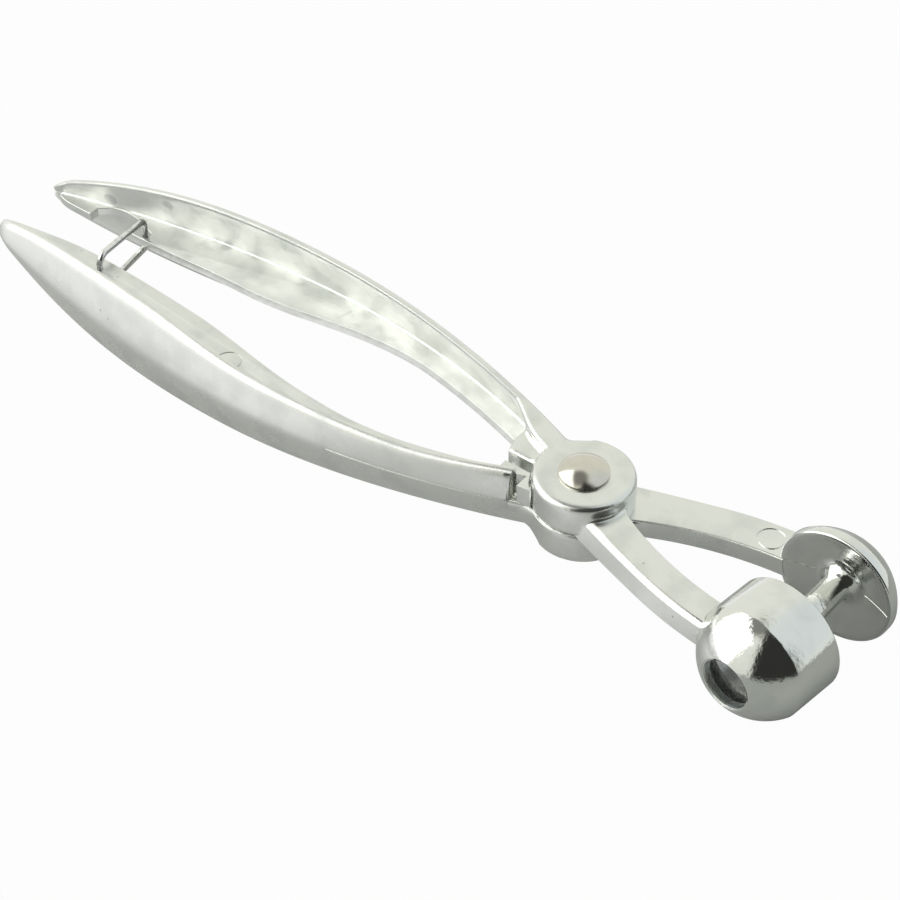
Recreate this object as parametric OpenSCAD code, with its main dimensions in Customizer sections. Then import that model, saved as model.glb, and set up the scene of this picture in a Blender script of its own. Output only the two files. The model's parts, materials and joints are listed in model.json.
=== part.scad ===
// Cherry pitter: two crossed die-cast levers on a rivet, with a cup, a plunger and a wire latch.
// Origin: on the rivet's axis, in the flat underside of the lower hub.
// +X runs to the jaws and +Z to the rivet's head.
// The levers are drawn latched. The upper one turns about Z by up to close_angle to close the jaws.
// The modules work from the plane where the two hubs meet, and lift() sets them on the underside.

/* [Hub] */
// Radius of each hub disc
hub_r = 10; // [9:0.5:12]
// Height of each hub disc
hub_h = 7.3; // [6.5:0.1:9]
// Rounding of the outer edge of a hub
hub_round = 1.2; // [0.5:0.1:2]
// Gap between the two hub faces
hub_gap = 0.1; // [0.05:0.05:0.2]
// Room around a hub, cut from the other lever
hub_room = 0.4; // [0.3:0.1:0.8]
// Angle from the latched rest to closed jaws
close_angle = 5.6; // [5:0.1:5.8]

/* [Rivet] */
// Shank diameter
rivet_d = 5; // [4:0.25:5.5]
// Diameter of the domed head
head_d = 9.8; // [8:0.2:12]
// Height of the dome above the edge of the head
head_dome = 1.5; // [1:0.1:2.2]
// Thickness of the edge of the head
head_edge = 0.5; // [0.3:0.1:1]
// Diameter of the set tail, flush in the lower hub's underside
tail_d = 7.6; // [6.5:0.2:9]
// Height of the set tail
tail_h = 1; // [0.6:0.1:1.5]
// Radial clearance of the shank in the turning upper lever
rivet_fit = 0.05; // [0.02:0.01:0.1]
// Radial clearance of the shank in the lower lever, which holds it
rivet_seat = 0.02; // [0.01:0.01:0.05]

/* [Spring] */
// Wire diameter of the return spring
spring_wire = 1.2; // [0.9:0.1:1.3]
// Radius of the coil at the middle of the wire
spring_r = 5; // [4.4:0.1:5.2]
// Turns of the coil between its two legs
spring_turns = 2.5; // [2:0.5:2.5]
// Rise of the coil for each turn
spring_pitch = 1.75; // [1.7:0.05:1.8]
// Length of each straight leg
spring_leg = 6.4; // [6:0.1:6.8]
// Room around the coil and legs in the hubs
spring_room = 0.5; // [0.4:0.1:0.7]

/* [Handle] */
// Distance from the rivet to the tip
handle_reach = 150; // [140:1:160]
// Furthest reach of a handle's outer face from the centre plane
bow_y = 21.1; // [19:0.1:24]
// Distance from the rivet to that place
bow_s = 75; // [70:1:80]
// Reach of the outer face at the tip
tip_y = 10.2; // [10:0.1:11]
// Reach of the outer face at the neck
neck_y = 9.5; // [9.2:0.1:10]
// Distance from the rivet to the neck
neck_s = 12.7; // [12:0.1:14]
// Half height of the wall at the belly of the handle
belly_h = 10.4; // [9:0.1:12]
// Distance from the rivet to the belly
belly_s = 100; // [92:1:108]
// Half height of the wall at the neck, on the side of the other lever's hub
neck_h = 6.5; // [6:0.1:7]
// Half height of the wall at the tip
tip_h = 2.4; // [2:0.1:3]
// How far the outer face bulges at the belly
bulge = 2.5; // [1.5:0.1:3]
// Thickness of the handle's wall
wall_t = 2; // [1.6:0.1:2.4]
// Thickness of the inner web
web_t = 2; // [1.6:0.1:2.4]
// Distance of the web from the plane where the hubs meet
web_off = 0.3; // [0.2:0.1:0.6]
// Width of the web at its widest
web_wide = 10.6; // [9:0.1:11]
// Width of the web where it is narrow, nearer the hub
web_narrow = 4.6; // [4:0.1:5]
// Width of the web at the tip
web_tip = 0.7; // [0.6:0.1:1]
// Distance from the rivet to the widest place of the web
web_wide_s = 95; // [90:1:100]
// Distance from the rivet to the narrow place of the web
web_narrow_s = 46; // [40:1:52]

/* [Neck] */
// Length of the gusset plate between hub and handle
gusset_s = 16.5; // [15:0.5:18]
// Reach of the gusset past the centre plane
gusset_y = 2; // [1:0.1:2.2]
// Thickness of the gusset plate
gusset_t = 5.4; // [4:0.1:6]
// Width of the groove where the upper half of the wall ends
groove_w = 0.9; // [0.6:0.1:1.2]

/* [Jaw arm] */
// Width of a jaw arm
arm_w = 7.8; // [7:0.1:9]
// Thickness of a jaw arm
arm_t = 4.3; // [3.8:0.1:5]
// Radius of the arm's curve at its middle line
arm_arc = 79; // [70:1:90]
// Distance from the rivet to the jaw end of the arm
arm_x = 46; // [44:0.5:48]
// Reach of the arm's middle line at the jaw end
arm_y = 14.1; // [13.5:0.1:15]
// Rounding of the arm's outer edge
arm_round = 1.8; // [1:0.1:2.2]
// Radius of the fillet between arm and hub
arm_fillet = 5; // [3:0.5:7]
// Diameter of the round ejector mark on an arm
mark_d = 5.3; // [4:0.1:6]
// Distance from the rivet to the ejector mark
mark_x = 33.7; // [32:0.1:35]
// Depth of the ejector mark
mark_depth = 0.25; // [0.15:0.05:0.4]

/* [Cup] */
// Where the closed jaw's axis crosses the centre plane
jaw_x = 49.1; // [48:0.1:50]
// Lean of the closed jaw's axis
jaw_tilt = 2.4; // [2:0.1:3]
// Outer radius of the cup's ball
cup_r = 12.2; // [11.8:0.1:12.8]
// Wall thickness of the cup
cup_wall = 1.9; // [1.6:0.1:2.4]
// Distance of the cup's centre along the closed axis from the centre plane
cup_set = 6.8; // [6.4:0.1:7.2]
// Length of the straight skirt from the centre to the rim
cup_skirt = 6.8; // [6:0.1:7.2]
// How far the skirt is set in from the ball
skirt_step = 0.6; // [0.3:0.1:1]
// Diameter of the stone outlet
outlet_d = 10; // [9:0.1:11]
// Chamfer around the stone outlet
outlet_chamfer = 0.4; // [0.2:0.1:0.6]

/* [Dish and plunger] */
// Distance of the dish's rim along the closed axis from the centre plane
dish_set = 9.6; // [9.2:0.1:10.4]
// Outer radius of the dish
dish_r = 12.1; // [11.6:0.1:12.8]
// Thickness of the dish's straight lip
dish_lip = 1.9; // [1.2:0.1:2.4]
// Height of the dome behind the lip
dish_dome = 7.3; // [6.5:0.1:8]
// Depth of the hollow in the dish
dish_hollow = 2.4; // [1.8:0.1:3]
// Width of the flat ring round the hollow
dish_ring = 0.8; // [0.6:0.1:1.4]
// Diameter of the plunger
plunger_d = 5; // [4:0.1:5.4]
// How far the plunger's tip enters the stone outlet when the jaws are closed
plunger_past = 0.5; // [0.2:0.1:1.5]
// Radius of the flare at the plunger's foot
plunger_flare = 2.6; // [2:0.1:3]
// Chamfer of the plunger's tip
plunger_chamfer = 0.5; // [0.3:0.1:0.8]

/* [Latch] */
// Wire diameter of the latch loop
latch_wire = 1.4; // [1.2:0.1:1.6]
// Distance from the handle's tip to the latch's pivot hole
tip_to_latch = 30; // [29:0.5:32]
// Reach of the pivot hole from the centre plane
latch_y = 7.5; // [7.3:0.1:7.8]
// Length of the loop between pivot and cross wire
latch_reach = 16.8; // [16.4:0.1:17]
// Lean of the latched loop towards the tip
latch_lean = 10; // [9:0.5:11]
// Swing of the loop towards the tip while the jaws close
latch_swing = 68; // [66:1:69]
// Gap between the loop's legs and the webs
latch_gap = 0.6; // [0.5:0.05:0.8]
// Radial clearance of the loop's ends in the pivot hole
latch_fit = 0.06; // [0.03:0.01:0.1]
// Room for the cross wire in the notch
notch_room = 0.6; // [0.4:0.1:0.8]
// Length of the hook nose that holds the cross wire
nose_len = 3; // [2:0.5:4]
// Radius of the ear around the pivot hole
ear_r = 3.2; // [2.8:0.1:3.6]

/* [Hidden] */
$fn = 72;
// Facets of the large shallow arcs
arc_fn = 180;
// Small sink that joins two shapes, and how far a cut runs past a face
eps = 0.01;
over = 1;
half_gap = hub_gap / 2;
aluminium = [0.78, 0.79, 0.77];
steel = [0.80, 0.76, 0.68];
wire_steel = [0.62, 0.62, 0.60];

module lift() {
    translate([0, 0, hub_h]) children();
}

// Curves of the handle by distance s from the rivet.
// Its height starts from neck_h above the meeting plane, and flush with its own hub below it.
tip_power = 2.25;
function ease(t) = let (c = max(0, min(1, t))) c * c * (3 - 2 * c);
function bow(s) = s > bow_s
    ? bow_y - (bow_y - tip_y) * pow((s - bow_s) / (handle_reach - bow_s), 2)
    : bow_y - (bow_y - neck_y) * pow((bow_s - s) / (bow_s - neck_s), 2);
function half_height(s, start = hub_h) = s > belly_s
    ? belly_h - (belly_h - tip_h) * pow((s - belly_s) / (handle_reach - belly_s), tip_power)
    : start + (belly_h - start) * ease((s - gusset_s) / (belly_s - gusset_s));
function web_width(s) = s > web_wide_s
    ? web_wide - (web_wide - web_tip) * pow((s - web_wide_s) / (handle_reach - web_wide_s), tip_power)
    : s > web_narrow_s
        ? web_narrow + (web_wide - web_narrow) * ease((s - web_narrow_s) / (web_wide_s - web_narrow_s))
        : web_narrow;
function bulge_at(s) = bulge * sqrt(half_height(s) / belly_h);
function outer_face(s, z) = bow(s) - bulge_at(s) * pow(z / half_height(s), 2);

// Section of the handle's wall at distance s, as [reach, height] points, from the lower edge up to top:
// bulged outer face, softened edges, inner face
wall_steps = 8;
edge_soft = wall_t * 0.15;
function wall_section(s, top) =
    let (
        h = half_height(s),
        edge = wall_t / 2,
        soft = edge_soft,
        level = function(i) edge - h + (top + h - wall_t) * i / wall_steps,
        face = function(z, inset) [outer_face(s, z) - inset, z]
    )
    concat(
        [face(soft - h, soft)],
        [for (i = [0 : wall_steps]) face(level(i), 0)],
        [face(top - soft, soft), face(top - soft, wall_t - soft)],
        [for (i = [wall_steps : -2 : 0]) face(level(i), wall_t)],
        [face(soft - h, wall_t - soft)]
    );

// Closed solid through a list of rings with the same number of points
module loft(rings) {
    n = len(rings[0]);
    last = len(rings) - 1;
    sides = [
        for (r = [0 : last - 1]) for (i = [0 : n - 1])
            let (a = r * n + i, b = r * n + (i + 1) % n) each [[a, b, b + n], [a, b + n, a + n]]
    ];
    caps = [[for (i = [n - 1 : -1 : 0]) i], [for (i = [0 : n - 1]) last * n + i]];
    polyhedron(points = [for (r = rings) each r], faces = concat(sides, caps), convexity = 8);
}

// Wall of the handle on the -Y side: full height up to wall_end, then only its lower half,
// which runs on into the hub
neck_in = 5;
wall_rings = 26;
wall_end = neck_s + groove_w;
wall_stations = concat(
    [for (k = [0 : wall_rings]) handle_reach + (wall_end - handle_reach) * k / wall_rings],
    [for (f = [0, 0.5, 1]) neck_s + (neck_in - neck_s) * f]
);
module handle_wall() {
    loft([
        for (s = wall_stations)
            let (top = s < wall_end ? -half_gap : half_height(s, neck_h))
                [for (p = wall_section(s, top)) [-s, -p[0], p[1]]]
    ]);
}

// Flat web along the wall's inner side, above the meeting plane
web_steps = 24;
web_end = gusset_s - 2;
function web_edge(s) = [-s, web_width(s) + wall_t - bow(s)];
function web_root(s) = [-s, wall_t / 2 - bow(s)];
function along(k) = web_end + (handle_reach - wall_t - web_end) * k / web_steps;
module web_plan() {
    polygon(concat(
        [for (k = [0 : web_steps]) web_edge(along(k))],
        [for (k = [web_steps : -1 : 0]) web_root(along(k))]
    ));
}

// Block that carries the upper half of the wall up to the other lever's hub
module stop_block() {
    back_s = wall_end + wall_t;
    difference() {
        translate([0, 0, -gusset_t]) linear_extrude(gusset_t + neck_h - wall_t)
            polygon([
                [-back_s, wall_t - bow(back_s)], [-back_s, web_width(back_s) + wall_t - bow(back_s)],
                [0, web_width(back_s) + wall_t - bow(back_s)], [-neck_in, wall_t / 2 - bow(neck_in)],
                [-wall_end, wall_t / 2 - bow(wall_end)]
            ]);
        hub_clearance();
    }
}

// Hub disc below the meeting plane, with a rounded lower edge
module hub_disc() {
    flat_r = hub_r - hub_round;
    rotate_extrude() {
        translate([0, -hub_h]) square([flat_r, hub_h - half_gap]);
        translate([0, hub_round - hub_h]) square([hub_r, hub_h - hub_round - half_gap]);
        translate([flat_r, hub_round - hub_h]) intersection() {
            circle(r = hub_round);
            translate([0, -hub_round]) square(hub_round);
        }
    }
}

// Plate that ties the hub to the handle's web below the meeting plane
module gusset() {
    translate([0, 0, -gusset_t]) linear_extrude(gusset_t - half_gap)
        polygon([
            [0, gusset_y], [-gusset_s, gusset_y], [-gusset_s - 1, -gusset_y],
            [-gusset_s, wall_t / 2 - bow(gusset_s)], [0, -neck_y / 2]
        ]);
}

// Curved jaw arm on the +Y side below the meeting plane
arm_c = [arm_x, arm_y - arm_arc];
arm_in = arm_arc - arm_w / 2;
arm_out = arm_arc + arm_w / 2;
arm_sweep = asin(arm_x / arm_arc);
module arm_profile() {
    difference() {
        translate([arm_in, -arm_t]) square([arm_w, arm_t - half_gap]);
        translate([arm_out - arm_round, arm_round - arm_t]) difference() {
            translate([0, -2 * arm_round]) square(2 * arm_round);
            circle(r = arm_round);
        }
    }
}
// Fillet centre: where circles round the hub and inside the arm's inner edge cross.
// The fillet sinks a little into both, so that it crosses them and doesn't just touch.
fillet_sink = 0.05;
function meet(c1, r1, c2, r2) =
    let (
        d = norm(c2 - c1),
        u = (c2 - c1) / d,
        a = (d * d + r1 * r1 - r2 * r2) / (2 * d),
        h = sqrt(r1 * r1 - a * a)
    )
        c1 + u * a + h * [-u[1], u[0]];
fillet_c = meet([0, 0], hub_r + arm_fillet - fillet_sink, arm_c, arm_in - arm_fillet + fillet_sink);
fillet_in_arm = arm_c + (fillet_c - arm_c) * arm_arc / norm(fillet_c - arm_c);
function arm_mid(x) = [x, arm_c[1] + sqrt(arm_arc * arm_arc - pow(x - arm_x, 2))];
module jaw_arm() {
    translate(arm_c) rotate(90) rotate_extrude(angle = arm_sweep, $fn = arc_fn) arm_profile();
    translate([0, 0, -arm_t]) linear_extrude(arm_t - half_gap) difference() {
        polygon([[0, 0], fillet_c, fillet_in_arm]);
        translate(fillet_c) circle(r = arm_fillet);
    }
}

// Room for the other lever's hub, above the meeting plane
module hub_clearance() {
    translate([0, 0, -half_gap]) cylinder(r = hub_r + hub_room, h = hub_h + belly_h);
}
// One lever without its jaw: handle on -Y, hub below the meeting plane, arm on +Y
module lever_blank() {
    handle_wall();
    stop_block();
    hub_disc();
    gusset();
    difference() {
        jaw_arm();
        translate(concat(arm_mid(mark_x), [-half_gap - mark_depth])) cylinder(d = mark_d, h = over);
    }
}

// Pocket for the return spring in the lower hub, with a slot for its leg
coil_h = spring_turns * spring_pitch;
coil_end = 360 * spring_turns;
pocket_depth = coil_h / 2 + spring_wire / 2 + spring_room;
pocket_r = spring_r + spring_wire / 2 + spring_room;
module spring_pocket() {
    slot_w = spring_wire + spring_room;
    translate([0, 0, -pocket_depth]) {
        cylinder(r = pocket_r, h = pocket_depth + over);
        translate([spring_r - slot_w / 2, -spring_leg - spring_room, 0])
            cube([slot_w, spring_leg + spring_room, pocket_depth + over]);
    }
}

// Frame of the closed jaw: local +Z runs along the jaw's axis from the outlet to the dish
module jaw_frame() {
    translate([jaw_x, 0, 0]) rotate([0, 0, -jaw_tilt]) rotate([-90, 0, 0]) children();
}

// Cup: a hollow ball with a straight skirt, in the jaw frame with its centre at the origin
cup_in = cup_r - cup_wall;
// Half section of a ball of radius r with its skirt, which runs past the rim by extra
module cup_profile(r, extra) {
    end = cup_skirt + extra;
    intersection() {
        union() {
            circle(r = r);
            translate([0, -over]) square([2 * r, end + 2 * over]);
        }
        translate([0, -2 * r]) square([r - skirt_step, 2 * r + end]);
    }
}
module cup_shell() {
    rotate_extrude() cup_profile(cup_r, 0);
}
module cup_hollow() {
    outlet_r = outlet_d / 2;
    edge_z = -sqrt(cup_r * cup_r - outlet_r * outlet_r);
    chamfer_h = 2 * outlet_chamfer;
    rotate_extrude() cup_profile(cup_in, arm_t);
    translate([0, 0, -2 * cup_r]) cylinder(d = outlet_d, h = 2 * cup_r);
    translate([0, 0, edge_z - outlet_chamfer])
        cylinder(r1 = outlet_r + chamfer_h, r2 = outlet_r, h = chamfer_h);
}
module cup_place() {
    rotate([0, 0, -close_angle]) jaw_frame() translate([0, 0, -cup_set]) children();
}

// Dish with its plunger, in the jaw frame with the rim at the origin and the plunger along -Z
plunger_len = dish_set + cup_set + sqrt(cup_in * cup_in - pow(outlet_d / 2, 2)) + plunger_past;
module dish() {
    dome_r = (dish_r * dish_r + dish_dome * dish_dome) / (2 * dish_dome);
    hollow_rim = dish_r - dish_ring;
    hollow_r = (hollow_rim * hollow_rim + dish_hollow * dish_hollow) / (2 * dish_hollow);
    rotate_extrude() difference() {
        union() {
            square([dish_r, dish_lip]);
            translate([0, dish_lip]) intersection() {
                translate([0, dish_dome - dome_r]) circle(r = dome_r, $fn = arc_fn);
                square([dish_r, dish_dome]);
            }
        }
        intersection() {
            translate([0, dish_hollow - hollow_r]) circle(r = hollow_r, $fn = arc_fn);
            translate([0, -eps]) square([dish_r, dish_hollow + over]);
        }
    }
}
module plunger() {
    plunger_r = plunger_d / 2;
    foot = plunger_r + plunger_flare;
    root = dish_hollow + eps;
    rotate_extrude() {
        polygon([
            [0, root], [plunger_r, root], [plunger_r, plunger_chamfer - plunger_len],
            [plunger_r - plunger_chamfer, -plunger_len], [0, -plunger_len]
        ]);
        difference() {
            translate([0, dish_hollow - plunger_flare]) square([foot, plunger_flare + dish_ring]);
            translate([foot, dish_hollow - plunger_flare]) circle(r = plunger_flare);
        }
    }
}
module dish_place() {
    jaw_frame() translate([0, 0, dish_set]) children();
}

// Latch: pivot, direction of the loop, and where the cross wire lies in the turning lever's own frame
latch_s = handle_reach - tip_to_latch;
latch_p = [-latch_s, -latch_y];
function loop_end(swing) = latch_p + latch_reach * [-sin(latch_lean + swing), cos(latch_lean + swing)];
function turned(p, a) = [p[0] * cos(a) - p[1] * sin(a), p[0] * sin(a) + p[1] * cos(a)];
function wire_path(f) = turned(loop_end(latch_swing * f), -close_angle * f);
web_mid = web_off + web_t / 2;
leg_z = web_off + web_t + latch_gap + latch_wire / 2;

// Plan of the notch in the upper lever's web: the cross wire's way out to the inner edge, behind a hook nose
notch_steps = 6;
notch_r = latch_wire / 2 + notch_room;
module notch_plan() {
    seat = wire_path(0);
    out = wire_path(1);
    nose_x = seat[0] - nose_len;
    inside = notch_r - eps;
    for (k = [0 : notch_steps]) translate(wire_path(k / notch_steps)) circle(r = notch_r);
    polygon(concat(
        [for (k = [0 : notch_steps]) wire_path(k / notch_steps) + [0, inside]],
        [out - [notch_r, 0], out - [notch_r, latch_reach], [nose_x, seat[1] - latch_reach]],
        [[nose_x, seat[1] - notch_r], seat - [0, inside]]
    ));
}

module lower_lever() {
    color(aluminium) lift() difference() {
        union() {
            lever_blank();
            dish_place() dish();
            dish_place() plunger();
            translate([0, 0, web_off]) linear_extrude(web_t) difference() {
                union() {
                    web_plan();
                    translate(latch_p) circle(r = ear_r);
                }
                translate(latch_p) circle(d = latch_wire + 2 * latch_fit);
            }
        }
        translate([0, 0, -hub_h - over]) {
            cylinder(d = rivet_d + 2 * rivet_seat, h = hub_h + 2 * over);
            cylinder(d = tail_d + 2 * rivet_seat, h = tail_h + over);
        }
        spring_pocket();
    }
}

module upper_lever() {
    color(aluminium) lift() difference() {
        union() {
            rotate([180, 0, 0]) lever_blank();
            translate([0, 0, -web_off - web_t]) linear_extrude(web_t) difference() {
                mirror([0, 1]) web_plan();
                notch_plan();
            }
            cup_place() cup_shell();
        }
        cup_place() cup_hollow();
        translate([0, 0, -over]) cylinder(d = rivet_d + 2 * rivet_fit, h = hub_h + 2 * over);
        rotate([180, 0, -coil_end]) spring_pocket();
    }
}

module pivot_rivet() {
    head_r = head_d / 2;
    dome_r = (head_r * head_r + head_dome * head_dome) / (2 * head_dome);
    head_z = hub_h + hub_gap;
    color(steel) lift() {
        translate([0, 0, -hub_h]) cylinder(d = rivet_d, h = hub_h + head_z);
        translate([0, 0, -hub_h]) cylinder(d = tail_d, h = tail_h);
        translate([0, 0, head_z]) rotate_extrude() {
            square([head_r, head_edge]);
            translate([0, head_edge]) intersection() {
                translate([0, head_dome - dome_r]) circle(r = dome_r, $fn = arc_fn);
                square([head_r, head_dome]);
            }
        }
    }
}

// Return spring: one wire with a straight leg in each hub and a coil between them
spring_sides = 6;
coil_rings = 24;
coil_steps = round(spring_turns * coil_rings);
function coil_point(k) = let (a = 360 * spring_turns * k / coil_steps)
    [spring_r * cos(a), spring_r * sin(a), coil_h * (k / coil_steps - 0.5)];
spring_path = concat(
    [for (f = [1, 0.5]) [spring_r, -spring_leg * f, -coil_h / 2]],
    [for (k = [0 : coil_steps]) coil_point(k)],
    [for (f = [0.5, 1]) [
        spring_r * cos(coil_end) - spring_leg * f * sin(coil_end),
        spring_r * sin(coil_end) + spring_leg * f * cos(coil_end), coil_h / 2]]
);
function unit(v) = v / norm(v);
function path_dir(p, i) = unit(p[min(i + 1, len(p) - 1)] - p[max(i - 1, 0)]);
function tube_ring(p, i, r, sides) =
    let (t = path_dir(p, i), across = unit(cross(t, [0, 0, 1])), up = cross(across, t))
        [for (j = [0 : sides - 1]) p[i] + r * (across * cos(360 * j / sides) + up * sin(360 * j / sides))];
module return_spring() {
    turn = [for (k = [coil_rings : coil_steps]) norm(coil_point(k) - coil_point(k - coil_rings))];
    echo(spring_gap = min(turn) - spring_wire);
    color(wire_steel) lift() loft([
        for (i = [0 : len(spring_path) - 1]) tube_ring(spring_path, i, spring_wire / 2, spring_sides)
    ]);
}

// Latch loop: a bent wire in an upright plane, with both ends turned into the pivot hole.
// The bends start at the faces of the webs.
latch_bend = latch_gap + latch_wire / 2;
pin_gap = 0.2;
module wire_bend() {
    rotate_extrude(angle = 90) translate([latch_bend, 0]) circle(d = latch_wire);
}
module wire_up(x, low, high) {
    translate([x, low, 0]) rotate([-90, 0, 0]) cylinder(d = latch_wire, h = high - low);
}
module latch_frame() {
    translate(concat(latch_p, [0])) rotate([0, 0, 90 + latch_lean]) rotate([90, 0, 0]) children();
}
module latch_loop() {
    run = latch_reach - 2 * latch_bend;
    bend_z = leg_z - latch_bend;
    color(wire_steel) lift() latch_frame() {
        for (up = [0, 1]) mirror([0, up, 0]) {
            translate([latch_bend, -leg_z, 0]) rotate([0, 90, 0]) cylinder(d = latch_wire, h = run);
            translate([latch_bend, -bend_z, 0]) rotate(180) wire_bend();
            translate([latch_bend + run, -bend_z, 0]) rotate(270) wire_bend();
        }
        wire_up(latch_reach, -bend_z, bend_z);
        wire_up(0, -bend_z, web_mid - pin_gap / 2);
        wire_up(0, web_mid + pin_gap / 2, bend_z);
    }
}

lower_lever();
upper_lever();
pivot_rivet();
return_spring();
latch_loop();
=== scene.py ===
"""Cherry pitter: two crossed die-cast levers on a rivet, with a return spring and a wire latch."""
import json
import math

import bmesh
import bpy
from bpy.props import FloatProperty, FloatVectorProperty, IntProperty, PointerProperty
from mathutils import Matrix, Vector


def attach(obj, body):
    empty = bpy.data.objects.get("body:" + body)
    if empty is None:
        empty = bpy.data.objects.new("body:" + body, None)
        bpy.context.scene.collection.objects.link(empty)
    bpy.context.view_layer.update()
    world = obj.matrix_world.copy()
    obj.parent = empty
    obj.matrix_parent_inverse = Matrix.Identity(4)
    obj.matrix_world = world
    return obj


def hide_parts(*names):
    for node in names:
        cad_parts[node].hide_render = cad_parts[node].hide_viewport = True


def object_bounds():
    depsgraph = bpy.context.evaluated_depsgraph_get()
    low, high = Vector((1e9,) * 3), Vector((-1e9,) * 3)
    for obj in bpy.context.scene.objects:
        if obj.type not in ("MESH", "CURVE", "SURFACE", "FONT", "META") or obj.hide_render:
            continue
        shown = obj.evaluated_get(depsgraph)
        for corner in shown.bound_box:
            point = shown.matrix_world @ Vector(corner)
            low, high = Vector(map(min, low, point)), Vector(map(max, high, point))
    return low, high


bl_info = {
    "name": "Cherry Pitter",
    "version": (1, 0, 0),
    "blender": (4, 5, 0),
    "location": "View3D > Sidebar > Pitter",
    "description": "Builds the cast levers, rivet, spring and latch of a hand cherry pitter",
    "category": "Add Mesh",
}

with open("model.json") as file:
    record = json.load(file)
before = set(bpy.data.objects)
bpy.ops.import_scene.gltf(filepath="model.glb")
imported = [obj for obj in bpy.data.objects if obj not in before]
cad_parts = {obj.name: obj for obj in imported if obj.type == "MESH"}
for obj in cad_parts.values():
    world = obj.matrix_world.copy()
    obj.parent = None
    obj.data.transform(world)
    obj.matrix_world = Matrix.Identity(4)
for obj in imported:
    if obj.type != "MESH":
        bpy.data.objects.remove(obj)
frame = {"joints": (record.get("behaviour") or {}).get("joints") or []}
CAD_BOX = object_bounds()
MM = 0.001
SPIN_STEPS = 128
# How far a cutter reaches past what it cuts
OVER = 1 * MM
# How far a fused body lies below the clean parts laid over it
THIN = 0.2 * MM

# Dull spots of the ejector pins inside the far handle: place, core and rim in millimetres, and depth
PIN_SPOTS = (
    ((-135.5, 11.6, 9.0), 1.3, 1.9, 0.45),
    ((-120.0, 14.0, 13.3), 0.8, 1.8, 0.40),
    ((-105.9, 16.6, 7.0), 0.6, 1.9, 0.35),
)
# Painted shade of the small hollow at the near tip, which the mesh does not have: core and rim in
# millimetres, and depth
TIP_PIT_SHADE = (0.2, 0.5, 0.9)

# Sides of the room: direction, and the angles in degrees at which one starts and is full
DIM_RIGHT = ((0.99, 0.12, 0), 93, 83)
DIM_FRONT = ((0.20, -0.98, 0), 95, 80)
DARK_ABOVE = ((-0.22, -0.04, 0.97), 27, 13)
COOL_SIDE = ((0.65, 0.40, 0.65), 55, 15)

# Zones of painted light and painted shade on the floor, seen only in reflections, each by the two places
# between which it comes in or fades out: distances outside the handles' outer faces, then places along the
# tool
PAINTED_LIGHT_BESIDE_WALLS = (1 * MM, 28 * MM)
PAINTED_LIGHT_BETWEEN_WALLS = (-16 * MM, -8 * MM)
PAINTED_LIGHT_FADES_TO_JAWS = (-25 * MM, 35 * MM)
PAINTED_LIGHT_FADES_TO_HUB = (-40 * MM, -10 * MM)
PAINTED_SHADE_NECK_STARTS = (-80 * MM, -40 * MM)
PAINTED_SHADE_NECK_ENDS = (-18 * MM, 0)
PAINTED_SHADOW_UNDER_JAWS = (10 * MM, 60 * MM)

JOINTS = {joint["name"]: joint for joint in frame["joints"]}
PIVOT = Vector(JOINTS["lever_pivot"]["pos_m"])
CLOSE = math.radians(JOINTS["lever_pivot"]["range_deg"][1])
LATCH_PIVOT = Vector(JOINTS["latch_swing"]["pos_m"]) - PIVOT
LIFT = Matrix.Translation((0, 0, PIVOT.z))


def length(name, description, mm):
    """A size in millimetres, kept in metres."""
    return FloatProperty(name=name, description=description, default=mm * MM, unit="LENGTH", precision=5)


def angle(name, description, degrees):
    """An angle in degrees, kept in radians."""
    return FloatProperty(name=name, description=description, default=math.radians(degrees), subtype="ANGLE")


def number(name, description, value, unit="NONE"):
    """A plain number, or one with a unit."""
    return FloatProperty(name=name, description=description, default=value, unit=unit, precision=4)


def fraction(name, description, value):
    """A share of a whole."""
    return FloatProperty(
        name=name, description=description, default=value, min=0, max=1, subtype="FACTOR", precision=4,
    )


def count(name, description, value):
    """A whole number."""
    return IntProperty(name=name, description=description, default=value)


def colour(name, description, rgb):
    """A colour in linear values."""
    return FloatVectorProperty(
        name=name, description=description, default=rgb, min=0, max=1, subtype="COLOR",
    )


def point(name, description, mm):
    """A place in millimetres, kept in metres."""
    return FloatVectorProperty(
        name=name, description=description, default=Vector(mm) * MM, subtype="TRANSLATION", precision=5,
    )


def direction(name, description, way):
    """A direction."""
    return FloatVectorProperty(name=name, description=description, default=way, subtype="DIRECTION")


class PITTER_PG_hub(bpy.types.PropertyGroup):
    """Sizes of the two hubs and of what lies in them"""
    radius: length("Radius", "Radius of each hub disc", 10)
    height: length("Height", "Height of each hub disc", 7.3)
    round: length("Rounding", "Rounding of a hub's outer edge", 1.2)
    gap: length("Gap", "Gap between the two hub faces", 0.1)
    room: length("Room", "Room round a hub, cut from the other lever", 0.4)
    bore: length("Bore", "Radius of the rivet's bore", 2.55)
    pocket_r: length("Pocket radius", "Radius of the spring's pocket", 6.1)
    pocket_h: length("Pocket depth", "Depth of the spring's pocket", 3.3)
    head_r: length("Rivet head", "Radius of the rivet's domed head", 4.9)
    head_dome: length("Head dome", "Height of the dome over the head's edge", 1.5)
    head_edge: length("Head edge", "Thickness of the head's edge", 0.5)
    shank: length("Shank", "Radius of the rivet's shank", 2.5)
    tail_r: length("Tail", "Radius of the rivet's set tail", 3.8)
    tail_h: length("Tail height", "Height of the set tail", 1)
    coil_r: length("Coil", "Radius of the return spring's coil", 5)
    coil_wire: length("Spring wire", "Radius of the spring's wire", 0.6)
    coil_pitch: length("Pitch", "Rise of the coil for each turn", 1.75)
    coil_leg: length("Leg", "Length of each straight leg of the spring", 6.4)
    coil_turns: number("Turns", "Turns of the coil", 2.5)
    coil_steps: count("Coil steps", "Points of the wire for each turn", 48)


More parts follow.
